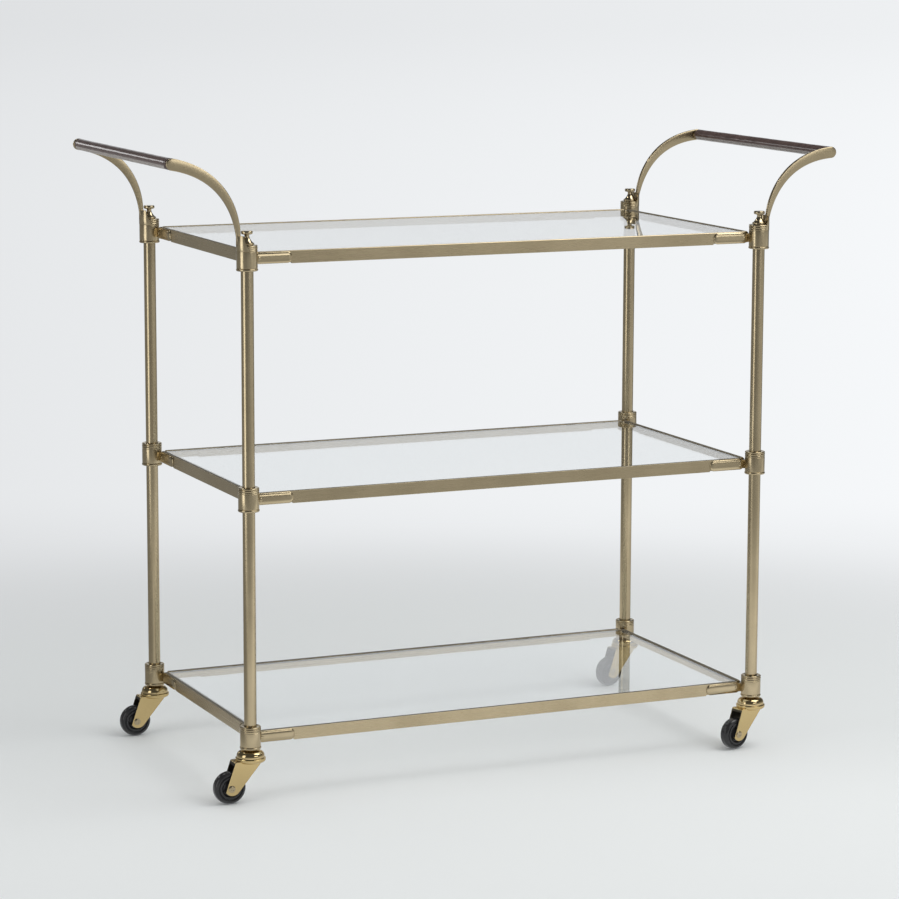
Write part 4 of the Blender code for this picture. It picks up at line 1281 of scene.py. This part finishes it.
def stitches(half):
    """Crossed stitches over the seam, each a pair of slanted threads."""
    shape = bmesh.new()
    run = 2 * half - 2 * STITCH_FROM_END
    count = int(run / STITCH_PITCH)
    for i in range(count + 1):
        y = -half + STITCH_FROM_END + i * run / count
        for lean, lift in CROSSING:
            points = []
            for k in range(STITCH_STEPS + 1):
                share = k / STITCH_STEPS - 0.5
                radius = SLEEVE_R + lift * math.cos(share * math.pi) - STITCH_BITE * abs(2 * share) ** 6
                x, z = polar(radius, SEAM_DEG + 2 * share * STITCH_SPAN_DEG)
                points.append(Vector((x, y + lean * share * STITCH_PITCH, z)))
            thread_tube(shape, points)
    return new_mesh(shape, "stitches")


print("stitches:", STITCH_PITCH, "m apart")

# %% Leather and thread in place
SOFT_DEG = 60
for side in ("left", "right"):
    low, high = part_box("grip_leather_" + side)
    half = (high.y - low.y) / 2
    place = Matrix.Translation((low + high) / 2)
    piece("leather_sleeve_" + side, copied(sleeve(half), place), leather, "root",
          ["grip_leather_" + side], SOFT_DEG)
    piece("thread_" + side, copied(stitches(half), place), thread_waxed, "root", deg=SOFT_DEG)
print("sleeve:", round(2 * half, 3), "m")

# %% [markdown]
# ## Casters
# A caster is three moving parts. The stem with its domed cap is pressed into the post, the fork turns on
# the stem, and the wheel rolls in the fork. Each is its own piece and rides on its own body, so that it
# turns about the joint that the CAD gives it.

# %% Domed caps and stems
WHEEL_R = 0.025
TRAIL = 0.0345
WEB_UNDER = 0.0625
WEB_TOP = 0.0650
CROWN_TOP = 0.0690
DOME_UNDER = 0.0693
DOME_R = 0.0213
DOME_TOP_R = 0.0115
DOME_H = 0.0105
DOME_BEAD = 0.0014
DOME_FULL = 0.92
DOME_STEP_DEG = 5
STEM_NECK_R = 0.009
NECK_TOP = 0.0840
STEM_R = 0.0074
STEM_LENGTH = 0.038
PIN_R = 0.004
PIN_FIT = 0.0003
CASTER_SIDES = 72


def stem():
    """Stem, neck, domed cap, kingpin and its riveted head, as one turning."""
    shoulder = DOME_UNDER + DOME_BEAD
    rise = DOME_H - DOME_BEAD
    spokes = [polar(1, a) for a in range(DOME_STEP_DEG, 90, DOME_STEP_DEG)]
    dome = [(DOME_TOP_R + (DOME_R - DOME_TOP_R) * out ** DOME_FULL, shoulder + rise * up ** DOME_FULL, 0)
            for up, out in spokes]
    return turned("caster_cap", eased([
        (0, NECK_TOP + STEM_LENGTH, 0),
        (STEM_R, NECK_TOP + STEM_LENGTH, 0.001),
        (STEM_R, NECK_TOP, 0),
        (STEM_NECK_R, NECK_TOP, 0.0004),
        (STEM_NECK_R, shoulder + rise, 0.0008),
        *dome,
        (DOME_R, shoulder, 0),
        (DOME_R, DOME_UNDER, 0.0005),
        (PIN_R, DOME_UNDER, 0),
        (PIN_R, WEB_UNDER - PIN_FIT, 0),
        (0.007, WEB_UNDER - PIN_FIT, 0.0003),
        (0.0062, WEB_UNDER - 0.0018, 0.0008),
        (0.003, WEB_UNDER - 0.0028, 0.0008),
        (0, WEB_UNDER - 0.0028, 0),
    ]), CASTER_SIDES)


for corner in CORNERS:
    piece("domed_cap_" + corner, copied(stem(), on_post(corner)), brass_dome, "root",
          ["caster_" + corner + "_stem"])
print("caps:", round(2 * DOME_R, 4), "m across")

# %% The fork's cheeks and crown
FORK_W = 0.024
FORK_T = 0.002
FORK_END_R = 0.013
FORK_END_BACK = 0.0015
FORK_END_UP = 0.0025
FORK_END_STEPS = 28
FORK_CORNER_DEG = 214
FORK_FRONT_SET = 0.0060
FORK_NOSE_DROP = 0.0012
FORK_NOSE_R = 0.0022
FORK_BACK = 0.0130
FORK_BACK_DROP = 0.0035
CHEEK_RIM = 0.0006
CROWN_R = 0.023
CROWN_EASE = 0.0013
CROWN_BAND = 0.0030
BOWL_H = 0.0045
BOWL_IN = 0.0065
BEND_STEP_DEG = 10
front_top = (FORK_FRONT_SET - TRAIL, WEB_TOP - FORK_NOSE_DROP)
back_top = (FORK_BACK, WEB_TOP - FORK_BACK_DROP)


def fork_end():
    """The round end of a cheek about the axle, from its front corner to where the back edge leaves it."""
    centre = Vector((FORK_END_BACK - TRAIL, WHEEL_R + FORK_END_UP))
    rise = Vector(back_top) - centre
    tangent = math.degrees(math.atan2(rise.y, rise.x) - math.acos(FORK_END_R / rise.length))
    return arc(centre, FORK_END_R, FORK_CORNER_DEG - 360, tangent, FORK_END_STEPS)


def fork_body():
    """The pressing before it is hollowed: cheeks as one thick plate, joined to the round crown."""
    spokes = [polar(FORK_NOSE_R, a) for a in range(90, 0, -BEND_STEP_DEG)]
    bend = [(front_top[0] + FORK_NOSE_R - out, WEB_TOP - FORK_NOSE_R + up) for out, up in spokes]
    cheek = [*fork_end(), back_top, (FORK_BACK, WEB_TOP), *bend]
    band = CROWN_TOP - CROWN_BAND
    bowl = [(CROWN_R - BOWL_IN * (1 - level), band - BOWL_H * drop, 0)
            for level, drop in (polar(1, a) for a in range(0, 91, BEND_STEP_DEG))]
    crown = [(0, CROWN_TOP, 0), (CROWN_R, CROWN_TOP, CROWN_EASE), *bowl, (0, band - BOWL_H, 0)]
    return boolean("fork_body", plate("cheeks", cheek, FORK_W, CHEEK_RIM), "UNION",
                   [turned("crown", eased(crown), CASTER_SIDES)])


print("cheek end:", len(fork_end()), "points")

# %% The fork hollowed and drilled
WELL_EDGE = 0.0002
WELL_EASE = 0.0005
WELL_OVERRUN = 0.002
LIP_DROP = 0.0030
BRIDGE_UP = 0.0165
BRIDGE_BEYOND = 0.015
AXLE_HOLE_R = 0.0028
DRILL_LENGTH = 0.012
CASTER_YAW = {"front_left": 0, "front_right": 14, "back_left": 0, "back_right": 12}


def crossing(start, end, height, inward):
    """Where a straight edge is at a height, moved in by the sheet's thickness."""
    return start[0] + (end[0] - start[0]) * (height - start[1]) / (end[1] - start[1]) + inward, height


def fork():
    """A pressed fork: round crown, web, two cheeks, front lip and rear bridge."""
    end = fork_end()
    lip = WEB_UNDER - LIP_DROP
    bridge = WHEEL_R + BRIDGE_UP
    ahead = end[0][0] - WELL_OVERRUN
    well = plate("cavity", [
        (-CROWN_R, WEB_UNDER),
        crossing(front_top, end[0], WEB_UNDER - FORK_NOSE_DROP, FORK_T),
        crossing(front_top, end[0], lip, FORK_T),
        (ahead, lip),
        (ahead, -WELL_OVERRUN),
        (BRIDGE_BEYOND, -WELL_OVERRUN),
        (BRIDGE_BEYOND, bridge),
        crossing(end[-1], back_top, bridge, -FORK_T),
        crossing(end[-1], back_top, WEB_UNDER, -FORK_T),
    ], FORK_W - 2 * FORK_T, WELL_EASE)
    pin_hole = rod("pin_hole", PIN_R + PIN_FIT, DRILL_LENGTH, (0, 0, 1), (0, 0, WEB_TOP))
    axle_hole = rod("axle_hole", AXLE_HOLE_R, CUT_LENGTH, (0, 1, 0), (-TRAIL, 0, WHEEL_R))
    return boolean("fork", fork_body(), "DIFFERENCE", [well, pin_hole, axle_hole])


pressed = fork()
caster_places = {corner: on_post(corner) @ turn_z(yaw) for corner, yaw in CASTER_YAW.items()}
# The faces inside the wheel well get a dark, dull brass that paints the shade of the hollow between the
# cheeks.
in_well = [face.index for face in pressed.polygons
           if abs(face.center.y) < FORK_W / 2 - FORK_T + WELL_EDGE and face.center.z < WEB_UNDER + WELL_EDGE]
for corner, place in caster_places.items():
    name = "caster_" + corner
    obj = piece("pressed_fork_" + corner, copied(pressed, place), brass_bright,
                name + "_swivel_body", [name + "_fork"])
    obj.data.materials.append(brass_well_shade)
    for index in in_well:
        obj.data.polygons[index].material_index = 1
print("fork:", len(pressed.polygons), "faces,", len(in_well), "in the well")

# %% Wheels and axle rivets
WHEEL_HALF = 0.0085
WHEEL_SIDES = 96
RIVET_R = 0.0055
RIVET_SIDES = 48
RIVET_FACE = FORK_W / 2 + 0.0002
# Radius, height, ease of one half: boss, dished side, side ring, groove, shoulder, tread, mould line.
WHEEL = [
    (0.0028, 0.0097, 0), (0.0060, 0.0097, 0.0005), (0.0064, WHEEL_HALF - 0.0026, 0.0006),
    (0.0122, WHEEL_HALF - 0.0028, 0.0010), (0.0136, WHEEL_HALF - 0.0004, 0.0010),
    (0.0154, WHEEL_HALF, 0.0010), (0.0172, WHEEL_HALF - 0.0004, 0.0008),
    (0.0178, WHEEL_HALF - 0.0020, 0.0005), (0.0188, WHEEL_HALF - 0.0020, 0.0005),
    (0.0194, WHEEL_HALF - 0.0002, 0.0006), (0.0222, WHEEL_HALF - 0.0003, 0.0024),
    (0.0250, WHEEL_HALF - 0.0040, 0.0030), (0.0250, 0.0004, 0.0001), (0.0248, 0.0002, 0.0001)]
# The same for the axle: a low domed head with a dimple, then the shank.
RIVET = [
    (0, RIVET_FACE + 0.0008, 0), (0.0018, RIVET_FACE + 0.0008, 0.0003), (0.0024, RIVET_FACE + 0.0015, 0.0004),
    (0.0038, RIVET_FACE + 0.0015, 0.0008), (RIVET_R, RIVET_FACE + 0.0004, 0.0004),
    (RIVET_R, RIVET_FACE, 0.0001), (0.0025, RIVET_FACE, 0)]
wheel = turned("wheel", eased(both_sides(WHEEL)), WHEEL_SIDES)
rivet = turned("rivet", eased(both_sides(RIVET), 3), RIVET_SIDES)
for corner, place in caster_places.items():
    name = "caster_" + corner
    hub = place @ Matrix.Translation((-TRAIL, 0, WHEEL_R)) @ Matrix.Rotation(math.pi / 2, 4, "X")
    piece("moulded_wheel_" + corner, copied(wheel, hub), wheel_black, name + "_wheel_body",
          [name + "_wheel"])
    piece("axle_rivet_" + corner, copied(rivet, hub), brass_cap, name + "_swivel_body",
          [name + "_axle"])
print("wheel:", len(wheel.polygons), "faces")

# %% Colour management
bpy.context.scene.view_settings.view_transform = "Standard"
